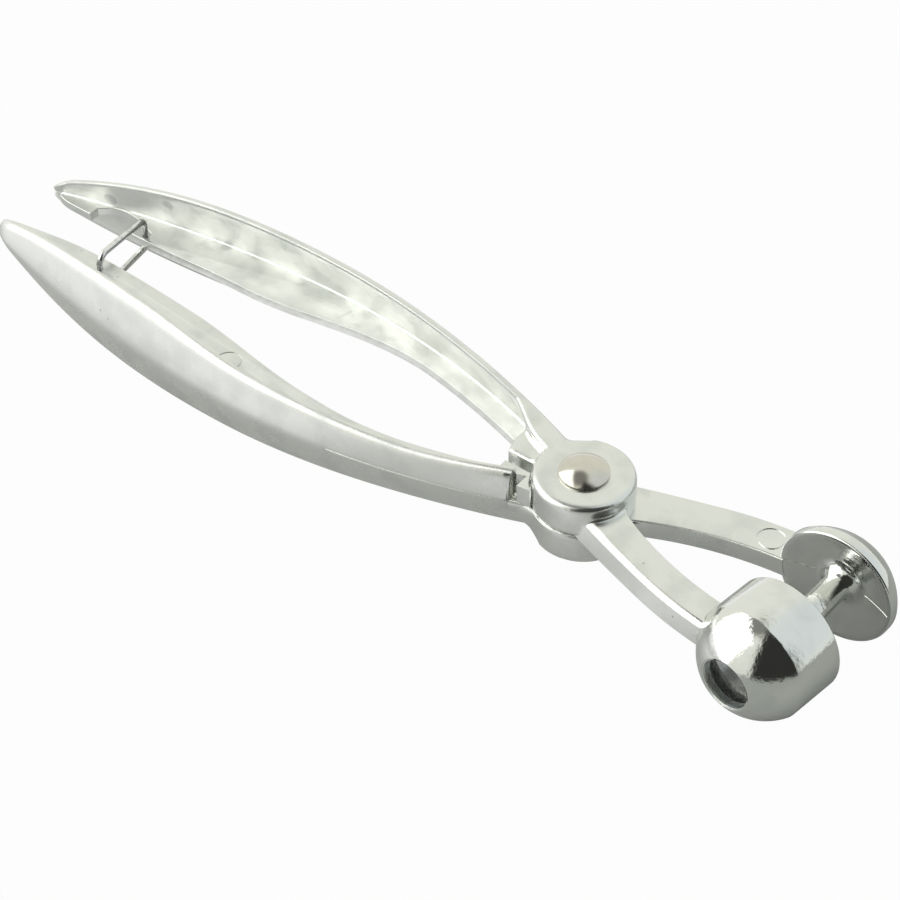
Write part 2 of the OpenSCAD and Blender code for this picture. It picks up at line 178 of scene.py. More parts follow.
class PITTER_PG_handle(bpy.types.PropertyGroup):
    """Sizes of a handle, by distance from the rivet"""
    reach: length("Reach", "Distance from the rivet to the tip", 150)
    bow_y: length("Bow", "Furthest reach of the outer face from the centre plane", 21.1)
    bow_s: length("Bow place", "Distance from the rivet to that place", 75)
    tip_y: length("Tip reach", "Reach of the outer face at the tip", 10.2)
    neck_y: length("Neck reach", "Reach of the outer face at the neck", 9.5)
    neck_s: length("Neck place", "Distance from the rivet to the neck", 12.7)
    neck_in: length("Neck end", "Where the lower half of the wall ends in the hub", 6.2)
    belly_h: length("Belly", "Half height of the wall at its belly", 10.4)
    belly_s: length("Belly place", "Distance from the rivet to the belly", 100)
    neck_h: length("Neck height", "Half height at the neck, on the other hub's side", 6.5)
    dip: length("Dip", "How much lower the wall's upper edge runs between neck and belly", 1.3)
    dip_s: length("Dip place", "Distance from the rivet to the dip's middle", 52)
    dip_half: length("Dip length", "Half length of the dip", 45)
    dip_rise: number("Dip shape", "How soon the dip comes to its full depth", 1.6)
    tip_h: length("Tip height", "Half height of the wall at the tip", 2.4)
    tip_round: length("Tip rounding", "Length over which the wall rounds off to its tip", 6)
    tip_least: fraction("Tip end", "Share of the wall that is left at the very tip", 0.1)
    tip_power: number("Tip curve", "Power of the taper to the tip", 2.25)
    near_tip_in: length("Near tip", "How far the near tip rounds inwards", 2.6)
    far_tip_in: length("Far tip", "How far the far tip rounds inwards", 0.6)
    bulge: length("Bulge", "How far the outer face bulges at the belly", 2.5)
    draft: fraction("Draft", "Share of the bulge that is a straight draft", 0.4)
    wall: length("Wall", "Thickness of the wall", 2)
    web: length("Web", "Thickness of the inner web", 2)
    web_off: length("Web offset", "Distance of the web from the plane where the hubs meet", 0.3)
    web_wide: length("Web width", "Width of the web at its widest", 10.6)
    web_narrow: length("Narrow web", "Width of the web nearer the hub", 4.6)
    web_tip: length("Web tip", "Width of the web at the tip", 0.7)
    web_end: length("Web end", "How far the web ends before the tip", 2.4)
    near_web: length("Near web", "How much wider the near web is", 1.6)
    near_web_s: length("Near web start", "Distance from the rivet to the start of that change", 34)
    far_web: length("Far web", "How much wider the far web is", -1.2)
    far_web_s: length("Far web start", "Distance from the rivet to the start of that change", 80)
    web_fade: length("Web fade", "Length over which these changes come and go", 26)
    web_wide_s: length("Wide place", "Distance from the rivet to the widest web", 95)
    web_narrow_s: length("Narrow place", "Distance from the rivet to the narrow web", 46)
    gusset_s: length("Gusset", "Length of the plate between hub and handle", 16.5)
    gusset_y: length("Gusset reach", "Reach of that plate past the centre plane", 2)
    gusset_t: length("Gusset height", "Thickness of that plate", 5.4)
    wall_end: length("Wall end", "Distance from the rivet to the end of the wall's upper half", 11.6)
    recess: length("Recess", "Width of the recess past that end", 1.9)
    recess_in: length("Recess depth", "Depth of that recess from the outer face", 3.4)
    stop_y: length("Stop reach", "Reach of the stop block by the hub", 7.7)
    neck_depth: length("Neck depth", "Depth of the blended corner at the neck", 3.78)
    neck_blend: length("Neck blend", "Radius of the ball that blends that corner", 4.59)
    top_s: length("Top length", "Length of the wall's wide edge from the hub", 26)
    top_w: length("Top width", "Width of that edge by the hub", 4)
    top_t: length("Top height", "Thickness of the wall's wide edge", 2.4)
    flash: length("Flash", "Radius of the flash line left by the mould", 0.14)
    flash_s: length("Flash length", "Distance from the rivet to the flash line's end", 48)
    flash_from: angle("Flash start", "Where the flash line starts on the hub", -123)
    flash_to: angle("Flash end", "Where the flash line ends on the hub", -70)
    mark_s: length("Web mark place", "Distance from the rivet to the web's ejector mark", 78.5)
    mark_y: length("Web mark reach", "Reach of the ejector mark's middle", 13)


class PITTER_PG_jaw(bpy.types.PropertyGroup):
    """Sizes of the jaw arms, the cup, the dish and the plunger"""
    arm_w: length("Arm width", "Width of a jaw arm", 7.8)
    arm_t: length("Arm height", "Thickness of a jaw arm", 4.3)
    arm_arc: length("Arm curve", "Radius of the arm's curve at its middle", 79)
    arm_x: length("Arm end", "Distance from the rivet to the arm's jaw end", 46)
    arm_y: length("Arm reach", "Reach of the arm's middle line at the jaw end", 14.1)
    arm_from: length("Arm start", "Distance from the rivet to the arm's start in the hub", 5.6)
    arm_round: length("Arm rounding", "Rounding of the arm's outer edge", 1.5)
    arm_slope: length("Arm slope", "How far the arm's outer side leans in over its height", 1.2)
    arm_flare: length("Arm flare", "How much wider the arm is at the hub", 3.4)
    fillet: length("Fillet", "Radius of the fillet between arm and hub", 5)
    mark_x: length("Mark place", "Distance from the rivet to the arm's ejector mark", 33.7)
    mark_r: length("Mark", "Radius of the ejector mark", 2.65)
    mark_w: length("Mark width", "Width of the mark's ring", 0.36)
    mark_depth: length("Mark depth", "Depth of the ejector mark", 0.3)
    axis_x: length("Jaw place", "Where the closed jaw's axis crosses the centre plane", 49.1)
    tilt: angle("Jaw lean", "Lean of the closed jaw's axis", 2.4)
    cup_r: length("Cup", "Outer radius of the cup's ball", 12.2)
    cup_wall: length("Cup wall", "Wall thickness of the cup", 1.9)
    cup_set: length("Cup place", "Distance of the cup's centre along the axis", 6.8)
    cup_skirt: length("Skirt", "Length of the skirt from centre to rim", 6.8)
    skirt_step: length("Skirt step", "How far the skirt is set in from the ball", 0.6)
    outlet_r: length("Outlet", "Radius of the stone outlet", 5)
    edge: length("Edge", "Rounding of the turned edges", 0.4)
    dish_set: length("Dish place", "Distance of the dish's rim along the axis", 9.6)
    dish_r: length("Dish", "Outer radius of the dish", 12.1)
    dish_lip: length("Dish lip", "Thickness of the dish's straight lip", 1.9)
    dish_dome: length("Dish dome", "Height of the dome behind the lip", 7.3)
    dish_hollow: length("Dish hollow", "Depth of the hollow in the dish", 2.4)
    dish_ring: length("Dish ring", "Width of the flat ring round the hollow", 0.8)
    plunger_r: length("Plunger", "Radius of the plunger", 2.5)
    plunger_past: length("Plunger end", "How far the closed plunger enters the outlet", 0.5)
    plunger_flare: length("Plunger foot", "Radius of the flare at the plunger's foot", 2.6)
    plunger_edge: length("Plunger edge", "Chamfer of the plunger's tip", 0.5)


class PITTER_PG_latch(bpy.types.PropertyGroup):
    """Sizes of the wire latch and its notch"""
    wire: length("Wire", "Radius of the latch wire", 0.7)
    reach: length("Reach", "Length of the loop between pivot and cross wire", 16.8)
    lean: angle("Lean", "Lean of the latched loop towards the tip", 10)
    swing: angle("Swing", "How far the loop swings while the handles close", 68)
    gap: length("Gap", "Gap between the loop's legs and the webs", 0.6)
    fit: length("Fit", "Radial clearance of the wire in its hole", 0.06)
    room: length("Notch room", "Room for the cross wire in the notch", 0.6)
    nose: length("Nose", "Length of the hook nose that holds the cross wire", 3)
    ear: length("Ear", "Radius of the ear round the pivot hole", 2.8)
    rise: length("Rise", "How far the upper leg stands up by the pivot", 1.3)
    ends: length("Ends", "Distance of each wire end from the middle of the hole", 0.1)


class PITTER_PG_finish(bpy.types.PropertyGroup):
    """Colours of the metals and how the castings are softened"""
    voxel: length("Grid", "Grid size that fuses a casting's parts", 0.4)
    soften: count("Softening", "Passes that round the cast edges", 8)
    blend: count("Blending", "Passes that fill the corners at jaw and neck", 60)
    bevel: length("Bevel", "Bevel of the web's edges", 0.3)
    polish_from: length("Polish start", "Distance from the rivet at which the polish starts", 30)
    polish_full: length("Polished jaws", "Distance from the rivet at which it is full", 40)
    frost_from: length("Frost start", "Depth behind the outer face at which the frost starts", 1.4)
    frost_full: length("Full frost", "Depth behind the outer face at which it is full", 2.4)
    frost_fade: length("Frost fade", "Distance from the rivet at which the frost fades", 30)
    frost_end: length("Frost end", "Distance from the rivet at which the frost ends", 12)
    # Painted shade inside the cup's hollow, which the outlet shows, and how far it reaches into the
    # outlet's bore
    cup_painted_shade: fraction("Dull cup", "How dull the cup is inside", 0.85)
    cup_painted_shade_depth: fraction("Dull depth", "Share of the cup's wall that stays bright outside", 0.4)
    bump: length("Bump", "Height of the casting's texture", 0.12)
    wire_bump: length("Wire bump", "Height of the texture on rivet and wire", 0.05)
    cast_light: colour("Bright casting", "Bright die-cast skin", (0.80, 0.81, 0.78))
    cast_dark: colour("Dull casting", "Dull, stained die-cast skin", (0.55, 0.57, 0.55))
    # Painted shade in the small casting pits
    pit_shade: colour("Pits", "Small casting pits", (0.30, 0.30, 0.28))
    # Painted shade in the cup's hollow and at the near tip's small hollow, and the darker grey of the spots
    # at the ejector pins
    dull: colour("Dull places", "Grey skin in the cup and at the ejector pins", (0.36, 0.37, 0.37))
    rivet: colour("Rivet", "Warm plated steel", (0.72, 0.69, 0.62))
    wire: colour("Wire", "Drawn steel wire", (0.82, 0.82, 0.80))


class PITTER_PG_stage(bpy.types.PropertyGroup):
    """Camera, lamp, floor and room of the studio"""
    sensor: number("Sensor", "Width of the camera's sensor in millimetres", 36, "CAMERA")
    lens: number("Lens", "Focal length in millimetres", 92.28, "CAMERA")
    clip: length("Clip", "Nearest distance that the camera sees", 10)
    eye: point("Camera", "Place of the camera", (174.4, -259.4, 314.8))
    right: direction("Right", "Direction to the right of the picture", (0.7871, 0.6168, -0.0082))
    forward: direction("Forward", "Direction in which the camera looks", (-0.4530, 0.5690, -0.6863))
    lamp: point("Lamp", "Place of the soft box, which faces the origin", (-690, -440, 530))
    lamp_size: length("Lamp size", "Side of the soft box", 1250)
    lamp_power: number("Lamp power", "Power of the soft box in watts", 6.6, "POWER")
    floor_half: length("Floor size", "Half side of the floor", 2000)
    floor: colour("Floor", "Pale studio floor", (0.48, 0.49, 0.48))
    floor_seen: fraction("Floor seen", "Share of white that the camera sees", 0.97)
    floor_mirrored: fraction("Floor mirrored", "Share of white that the metal mirrors", 0.16)
    # Painted light and painted shade on the floor, seen only in reflections: less white under the jaws as
    # painted shadow, more beside and between the handles as painted light, less by the neck as painted
    # shade
    floor_painted_shadow_under_jaws: fraction("Floor by the jaws", "How much less it mirrors under the jaws", 0.14)
    floor_painted_light_beside: fraction("Floor beside", "How much more it mirrors beside the handles", 0.8)
    floor_painted_shade_by_neck: fraction("Floor by the neck", "Share of that which is missing by the neck", 0.75)
    floor_painted_light_between: fraction("Floor between", "How much more it mirrors between the handles", 0.84)
    warm_wall: colour("Walls", "Pale walls of the room", (0.89, 0.90, 0.83))
    cool_wall: colour("Cool wall", "Cooler wall behind the jaws", (0.76, 0.81, 0.82))
    dim: fraction("Dim corner", "Share of light that the dim corner lacks", 0.96)
    dark: fraction("Dark ceiling", "Share of light that the dark place above lacks", 0.72)


class PITTER_PG_settings(bpy.types.PropertyGroup):
    """All settings of the cherry pitter"""
    hub: PointerProperty(type=PITTER_PG_hub)
    handle: PointerProperty(type=PITTER_PG_handle)
    jaw: PointerProperty(type=PITTER_PG_jaw)
    latch: PointerProperty(type=PITTER_PG_latch)
    finish: PointerProperty(type=PITTER_PG_finish)
    stage: PointerProperty(type=PITTER_PG_stage)


# Mesh building with bmesh operators

def loop_of(bm, points, closed=True):
    """Edges through the points."""
    verts = [bm.verts.new(p) for p in points]
    pairs = list(zip(verts, verts[1:])) + ([(verts[-1], verts[0])] if closed else [])
    return verts, [bm.edges.new(pair) for pair in pairs]


def finished(bm, place=Matrix.Identity(4)):
    """The shape moved to its place, with its doubles merged and its faces outwards."""
    bmesh.ops.remove_doubles(bm, verts=bm.verts, dist=MM * MM)
    bmesh.ops.transform(bm, matrix=place, verts=bm.verts)
    bmesh.ops.recalc_face_normals(bm, faces=bm.faces)
    return bm


def loft(rings):
    """Closed skin through loops of points, with both ends filled."""
    bm = bmesh.new()
    loops = [loop_of(bm, points)[1] for points in rings]
    for near, far in zip(loops, loops[1:]):
        bmesh.ops.bridge_loops(bm, edges=near + far)
    for end in (loops[0], loops[-1]):
        bmesh.ops.edgeloop_fill(bm, edges=end)
    return finished(bm)


def turned(outline, place=Matrix.Identity(4), closed=False):
    """Full turn of an (r, z) outline about Z, as on a lathe."""
    bm = bmesh.new()
    verts, edges = loop_of(bm, [(r, 0, z) for r, z in outline], closed)
    bmesh.ops.spin(
        bm, geom=verts + edges, cent=(0, 0, 0), axis=(0, 0, 1), dvec=(0, 0, 0),
        angle=2 * math.pi, steps=SPIN_STEPS, use_merge=True,
    )
    return finished(bm, place)


def plate(outline, low, high):
    """Flat plate with the outline given, from low to high."""
    bm = bmesh.new()
    face = bm.faces.new([bm.verts.new((x, y, low)) for x, y in outline])
    raised = bmesh.ops.extrude_face_region(bm, geom=[face])["geom"]
    verts = [v for v in raised if isinstance(v, bmesh.types.BMVert)]
    bmesh.ops.translate(bm, verts=verts, vec=(0, 0, high - low))
    return finished(bm)


def drum(radius, low, high, centre=(0, 0)):
    """Round disc or cutter, upright, from low to high."""
    place = Matrix.Translation((centre[0], centre[1], 0))
    return turned([(0, low), (radius, low), (radius, high), (0, high)], place)


def tube(path, radius, sides=24):
    """Round wire along a path of points."""
    rings = []
    for i, point in enumerate(path):
        along = (path[min(i + 1, len(path) - 1)] - path[max(i - 1, 0)]).normalized()
        if i == 0:
            across = along.orthogonal().normalized()
        else:
            across = (across - along * across.dot(along)).normalized()
        up = along.cross(across)
        turns = [2 * math.pi * k / sides for k in range(sides)]
        rings.append([point + radius * (math.cos(a) * across + math.sin(a) * up) for a in turns])
    return loft(rings)


def arc(centre, radius, start, end, steps):
    """Points of a plane arc from one angle to another."""
    turns = [start + (end - start) * k / steps for k in range(steps + 1)]
    return [(centre[0] + radius * math.cos(a), centre[1] + radius * math.sin(a)) for a in turns]


def cap_arc(rim, height, base, steps=24):
    """Points of a shallow dome's section from the rim in to the middle."""
    radius = (rim * rim + height * height) / (2 * height)
    half = math.asin(rim / radius)
    middle = base + height - radius
    turns = [half * (1 - k / steps) for k in range(steps + 1)]
    return [(radius * math.sin(a), middle + radius * math.cos(a)) for a in turns]


def new_piece(name, shapes):
    """One object that holds all the shapes."""
    mesh = bpy.data.meshes.new(name)
    whole = bmesh.new()
    for shape in shapes:
        part = bpy.data.meshes.new(name + "_part")
        shape.to_mesh(part)
        shape.free()
        whole.from_mesh(part)
        bpy.data.meshes.remove(part)
    whole.to_mesh(mesh)
    whole.free()
    piece = bpy.data.objects.new(name, mesh)
    bpy.context.scene.collection.objects.link(piece)
    return piece


def apply_modifiers(piece):
    """Puts the result of the modifiers into the piece's own mesh."""
    old = piece.data
    result = bpy.data.meshes.new_from_object(
        piece.evaluated_get(bpy.context.evaluated_depsgraph_get())
    )
    piece.modifiers.clear()
    piece.data = result
    result.name = piece.name
    bpy.data.meshes.remove(old)


def fuse(piece, voxel):
    """Joins overlapping shapes into one skin."""
    remesh = piece.modifiers.new("Fuse", "REMESH")
    remesh.mode = "VOXEL"
    remesh.voxel_size = voxel
    apply_modifiers(piece)


def carve(piece, cutters):
    """Cuts shapes out of the piece."""
    tools = [new_piece(f"cutter_{i}", [cutter]) for i, cutter in enumerate(cutters)]
    for tool in tools:
        cut = piece.modifiers.new("Cut", "BOOLEAN")
        cut.operation = "DIFFERENCE"
        cut.solver = "MANIFOLD"
        cut.object = tool
    apply_modifiers(piece)
    for tool in tools:
        mesh = tool.data
        bpy.data.objects.remove(tool)
        bpy.data.meshes.remove(mesh)


def soften(piece, passes, places=()):
    """Rounds the edges as casting and tumbling do: everywhere, or within the balls given."""
    smooth = piece.modifiers.new("Soften", "SMOOTH")
    smooth.factor = 0.5
    smooth.iterations = passes
    if places:
        group = piece.vertex_groups.new(name="blend")
        inside = [v.index for v in piece.data.vertices if any((v.co - c).length < r for c, r in places)]
        group.add(inside, 1, "REPLACE")
        smooth.vertex_group = group.name
    apply_modifiers(piece)


def bevelled(piece, width):
    """Breaks the sharp edges of a clean plate."""
    bevel = piece.modifiers.new("Edge", "BEVEL")
    bevel.width = width
    bevel.segments = 3
    bevel.limit_method = "ANGLE"
    bevel.angle_limit = math.radians(40)
    apply_modifiers(piece)


def shade(piece, material, sharp=40):
    """Smooth shading with sharp edges kept, and the material."""
    piece.data.materials.clear()
    piece.data.materials.append(material)
    piece.data.shade_smooth()
    piece.data.set_sharp_from_angle(angle=math.radians(sharp))


def ride(piece, body, node):
    """Ties the piece to its body and hides its CAD node."""
    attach(piece, body)
    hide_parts(node)


# Shapes of a lever, below and about the plane where the hubs meet

def ease(t):
    """Smooth step from 0 to 1."""
    c = min(max(t, 0), 1)
    return c * c * (3 - 2 * c)


def bow(h, s):
    """Reach of the handle's outer face at distance s."""
    if s > h.bow_s:
        return h.bow_y - (h.bow_y - h.tip_y) * ((s - h.bow_s) / (h.reach - h.bow_s)) ** 2
    return h.bow_y - (h.bow_y - h.neck_y) * ((h.bow_s - s) / (h.bow_s - h.neck_s)) ** 2


def half_height(h, s, start):
    """Half height of the handle's wall at distance s."""
    if s > h.belly_s:
        taper = ((s - h.belly_s) / (h.reach - h.belly_s)) ** h.tip_power
        return h.belly_h - (h.belly_h - h.tip_h) * taper
    return start + (h.belly_h - start) * ease((s - h.gusset_s) / (h.belly_s - h.gusset_s))


def web_width(h, s):
    """Width of the inner web at distance s."""
    if s > h.web_wide_s:
        taper = ((s - h.web_wide_s) / (h.reach - h.web_wide_s)) ** h.tip_power
        return h.web_wide - (h.web_wide - h.web_tip) * taper
    swell = ease((s - h.web_narrow_s) / (h.web_wide_s - h.web_narrow_s))
    return h.web_narrow + (h.web_wide - h.web_narrow) * swell


def tip_share(h, s):
    """Share of the wall that the rounded tip leaves at distance s."""
    left = min((h.reach - s) / h.tip_round, 1)
    return math.sqrt(max(1 - (1 - left) ** 2, h.tip_least ** 2))


def wall_section(h, hub, s, top, tip_in, thin, half_steps=7, edge_steps=6, edge_share=0.8):
    """Points of the wall's section at distance s, shaved by thin: bulged faces with round edges."""
    share = tip_share(h, s)
    low = share * half_height(h, s, hub.height)
    bulge = h.bulge * math.sqrt(low / h.belly_h)
    edge = min(h.wall / 2, edge_share * low) - thin
    outside = thin + tip_in * (1 - share) - bow(h, s)

    def face(z, inset):
        t = abs(z / low)
        return Vector((-s, outside + inset + bulge * (h.draft * t + (1 - h.draft) * t * t), z))

    start, end = thin + edge - low, share * top - thin - edge
    middle = 0 if end > 0 else (start + end) / 2
    levels = [start + (middle - start) * k / half_steps for k in range(half_steps)]
    levels += [middle + (end - middle) * k / half_steps for k in range(half_steps + 1)]
    turns = [math.pi * k / edge_steps for k in range(1, edge_steps)]
    over_top = [face(end + edge * math.sin(a), edge - edge * math.cos(a)) for a in turns]
    under = [face(start - edge * math.sin(a), edge + edge * math.cos(a)) for a in turns]
    outer = [face(z, 0) for z in levels]
    inner = [face(z, 2 * edge) for z in reversed(levels)]
    return outer + over_top + inner + under


def handle_wall(h, hub, tip_in, thin=0, stations=150, crowding=1.5):
    """Wall of the handle on the -Y side: full height, then only the half that runs into its own hub."""
    first, last = h.reach - thin, h.wall_end + thin
    far = [first + (last - first) * (k / stations) ** crowding for k in range(stations + 1)]
    end_step = h.wall / 8
    start = h.wall_end - end_step
    near = [start + (h.neck_in - start) * f for f in (0, 0.5, 1)]
    dips = [h.dip * ease(h.dip_rise * (1 - abs(s - h.dip_s) / h.dip_half)) for s in far]
    tops = [half_height(h, s, h.neck_h) - dip for s, dip in zip(far, dips)]
    rings = [wall_section(h, hub, s, top, tip_in, thin) for s, top in zip(far, tops)]
    rings += [wall_section(h, hub, s, -hub.gap / 2, tip_in, thin) for s in near]
    return loft(rings)


def flash_line(h, hub, steps=60):
    """Fine line of metal along the mould's parting, on the wall's outer face and round the hub."""
    span = h.wall_end - h.recess * 2 - h.flash_s
    places = [h.flash_s + span * k / steps for k in range(steps + 1)]
    depth = -hub.gap / 2 - h.flash / 2
    path = [Vector((-s, -bow(h, s), depth)) for s in places]
    on_hub = arc((0, 0), hub.radius, h.flash_from, h.flash_to, 16)
    path += [Vector((x, y, depth)) for x, y in on_hub]
    return tube(path, h.flash, 8)


def web_plate(h, more, more_s, tip_in, ear=0, thin=0, steps=280):
    """Flat web along the wall's inner side, shaved by thin, with a round ear for the latch if given."""
    start, end = h.gusset_s - h.wall, h.reach - thin - h.web_end

    def outside(s):
        return tip_in * (1 - tip_share(h, s)) - bow(h, s)

    def edge(s):
        swell = ease((s - more_s) / h.web_fade) * ease((h.reach - s) / h.web_fade)
        y = tip_share(h, s) * (web_width(h, s) + more * swell + h.wall) + outside(s)
        off = abs(s + LATCH_PIVOT.x)
        return (max(y, LATCH_PIVOT.y + math.sqrt(ear ** 2 - off ** 2)) if off < ear else y) - thin

    places = [start + (end - start) * k / steps for k in range(steps + 1)]
    inner = [(-s, edge(s)) for s in places]
    root = [(-s, tip_share(h, s) * h.wall / 2 + outside(s)) for s in reversed(places)]
    return plate(inner + root, h.web_off + thin, h.web_off + h.web - thin)


def stop_block(h, low, high):
    """Block that carries the wall's upper half up to the other lever's hub, past a recess."""
    back = h.wall_end + h.wall + h.recess
    stop = h.wall_end - h.recess
    inner = web_width(h, back) + h.wall - bow(h, back)
    outline = [
        (-back, h.wall / 2 - bow(h, back)), (-back, inner), (-h.neck_in, inner), (-h.neck_in, -h.stop_y),
        (-stop, THIN - bow(h, stop)), (-stop, h.recess_in - bow(h, stop)),
        (-h.wall_end, h.recess_in - bow(h, h.wall_end)), (-h.wall_end, h.wall / 2 - bow(h, h.wall_end)),
    ]
    return plate(outline, low, high)


def wide_top(h, hub, steps=12):
    """Flat edge of the wall that widens into the hub's outer face."""
    rim = h.bulge * math.sqrt(hub.height / h.belly_h) + THIN
    places = [h.top_s + (h.neck_in - h.top_s) * k / steps for k in range(steps + 1)]
    outer = [(-s, rim - bow(h, s)) for s in places]
    spread = [h.top_w * ease((h.top_s - s) / (h.top_s - h.neck_s)) for s in places]
    inner = [(x, y + h.wall / 2 + w) for (x, y), w in zip(reversed(outer), reversed(spread))]
    return plate(outer + inner, -hub.height, h.top_t - hub.height)


def hub_disc(hub):
    """Hub disc with a rounded lower edge, the rivet's bore and the spring's pocket."""
    top = -hub.gap / 2
    edge = arc((hub.radius - hub.round, hub.round - hub.height), hub.round, -math.pi / 2, 0, 8)
    outline = [(hub.bore, -hub.height)] + edge + [
        (hub.radius, top), (hub.pocket_r, top), (hub.pocket_r, -hub.pocket_h), (hub.bore, -hub.pocket_h),
    ]
    return turned(outline, closed=True)


def gusset(h, hub):
    """Plate that ties the hub to the handle's web."""
    start = hub.pocket_r + OVER
    outline = [
        (-start, h.gusset_y), (-h.gusset_s, h.gusset_y), (-h.gusset_s - OVER, -h.gusset_y),
        (-h.gusset_s, h.wall / 2 - bow(h, h.gusset_s)), (-start, -h.neck_y / 2),
    ]
    return plate(outline, -h.gusset_t, -hub.gap / 2)


def arm_centre(jaw):
    """Centre of the arm's curve."""
    return Vector((jaw.arm_x, jaw.arm_y - jaw.arm_arc))


def jaw_arm(jaw, hub, thin=0, steps=64):
    """Curved jaw arm on the +Y side, shaved by thin: its outer side leans, and flares in its first half."""
    top, low = -hub.gap / 2 - thin, thin - jaw.arm_t
    half = jaw.arm_w / 2 - thin
    soft, wide = jaw.edge, jaw.arm_round
    lean = math.atan(jaw.arm_slope / jaw.arm_t)
    edge = half - (top - low - wide) * math.tan(lean) - wide / math.cos(lean)
    section = arc((soft - half, low + soft), soft, math.pi, 1.5 * math.pi, 6)
    section += arc((edge, low + wide), wide, -0.5 * math.pi, -lean, 12)
    section += [(half, top)] + arc((soft - half, top - soft), soft, 0.5 * math.pi, math.pi, 6)
    centre = arm_centre(jaw)
    start = math.pi / 2 + math.asin((jaw.arm_x - jaw.arm_from) / jaw.arm_arc)
    rings = []
    for k in range(steps + 1):
        a = start + (math.pi / 2 - start) * k / steps
        way = Vector((math.cos(a), math.sin(a)))
        near_hub = max(1 - 2 * (centre + jaw.arm_arc * way).x / jaw.arm_x, 0)
        flare = 1 + jaw.arm_flare / half * near_hub ** 2
        places = [(centre + (jaw.arm_arc + off * (flare if off > 0 else 1)) * way, z) for off, z in section]
        rings.append([Vector((spot.x, spot.y, z)) for spot, z in places])
    return loft(rings)


def arm_fillet(jaw, hub, root_share=0.45):
    """Filled corner between the hub's rim and the arm's inner edge, rooted in the hub."""
    inner = jaw.arm_arc - jaw.arm_w / 2
    near, far = hub.radius + jaw.fillet, inner - jaw.fillet
    centre = arm_centre(jaw)
    distance = centre.length
    unit = centre / distance
    along = (distance ** 2 + near ** 2 - far ** 2) / (2 * distance)
    side = math.sqrt(near ** 2 - along ** 2)
    middle = unit * along + side * Vector((-unit.y, unit.x))
    on_hub = -middle
    on_arm = middle - centre
    first = math.atan2(on_hub.y, on_hub.x)
    last = math.atan2(on_arm.y, on_arm.x)
    curve = arc(middle, jaw.fillet, last, first + (2 * math.pi if first < last else 0), 12)
    root = [tuple(middle + on_hub * root_share), tuple(centre + on_arm.normalized() * jaw.arm_arc)]
    sunk = THIN / 3
    return plate(curve + root, sunk - jaw.arm_t, -hub.gap / 2 - sunk)


def lever_blank(s, tip_in):
    """Shapes that both levers share, to be fused: wall, wide edge, stop, hub, gusset and arm."""
    h, hub, jaw = s.handle, s.hub, s.jaw
    return [
        handle_wall(h, hub, tip_in, THIN), wide_top(h, hub), stop_block(h, -h.gusset_t, -hub.gap / 2),
        hub_disc(hub), gusset(h, hub), jaw_arm(jaw, hub, THIN), arm_fillet(jaw, hub),
    ]


def moved(shapes, place):
    """The same shapes at another place."""
    for shape in shapes:
        bmesh.ops.transform(shape, matrix=place, verts=shape.verts)
    return shapes


def hub_clearance(hub):
    """Cutter for the other lever's hub."""
    return drum(hub.radius + hub.room, hub.gap / 2, hub.height + 2 * hub.radius)


def ejector_ring(jaw, place):
    """Cutter for the round groove that an ejector pin left at a place on a flat top."""
    near, far = jaw.mark_r - jaw.mark_w / 2, jaw.mark_r + jaw.mark_w / 2
    ring = [(near, -jaw.mark_depth), (far, -jaw.mark_depth), (far, OVER), (near, OVER)]
    return turned(ring, Matrix.Translation(place), closed=True)


def arm_mark(jaw, hub):
    """Cutter for the ejector mark on an arm."""
    y = arm_centre(jaw).y + math.sqrt(jaw.arm_arc ** 2 - (jaw.mark_x - jaw.arm_x) ** 2)
    return ejector_ring(jaw, (jaw.mark_x, y, -hub.gap / 2))


def web_mark(jaw, h):
    """Cutter for the ejector mark on a web."""
    return ejector_ring(jaw, (-h.mark_s, -h.mark_y, h.web_off + h.web))


def jaw_place(jaw, closing, along):
    """Frame on the jaw's axis, with Z from the outlet to the dish."""
    return (
        Matrix.Rotation(-closing, 4, "Z") @ Matrix.Translation((jaw.axis_x, 0, 0))
        @ Matrix.Rotation(-jaw.tilt, 4, "Z") @ Matrix.Rotation(-math.pi / 2, 4, "X")
        @ Matrix.Translation((0, 0, along))
    )


def ball_arc(radius, start, end, steps=32):
    """Points of a ball's lower half section from one distance off its axis to another."""
    return arc((0, 0), radius, -math.acos(start / radius), -math.acos(end / radius), steps)


def cup_shell(jaw, thin=0):
    """Cup in one turned shape, shaved by thin: ball, straight skirt, round rim, hollow and outlet."""
    soft, rim, hole = jaw.edge, jaw.cup_skirt - thin, jaw.outlet_r + thin
    outer, inner = jaw.cup_r - thin, jaw.cup_r - jaw.cup_wall + thin
    side, wall = outer - jaw.skirt_step, inner - jaw.skirt_step
    outline = ball_arc(outer, hole + soft, side)
    outline += arc((side - soft, rim - soft), soft, 0, math.pi / 2, 6)
    outline += arc((wall + soft, rim - soft), soft, math.pi / 2, math.pi, 6)
    outline += ball_arc(inner, wall, hole)
    outline += [(hole, soft - math.sqrt(outer ** 2 - hole ** 2))]
    return turned(outline, jaw_place(jaw, CLOSE, -jaw.cup_set), closed=True)


def cup_room(jaw):
    """Cutter for what the arm would fill of the cup's hollow and outlet."""
    inner = jaw.cup_r - jaw.cup_wall + THIN
    end = jaw.cup_skirt + jaw.arm_t
    outline = ball_arc(inner, 0, inner - jaw.skirt_step)
    outline += [(inner - jaw.skirt_step, end), (0, end)]
    return turned(outline, jaw_place(jaw, CLOSE, -jaw.cup_set))


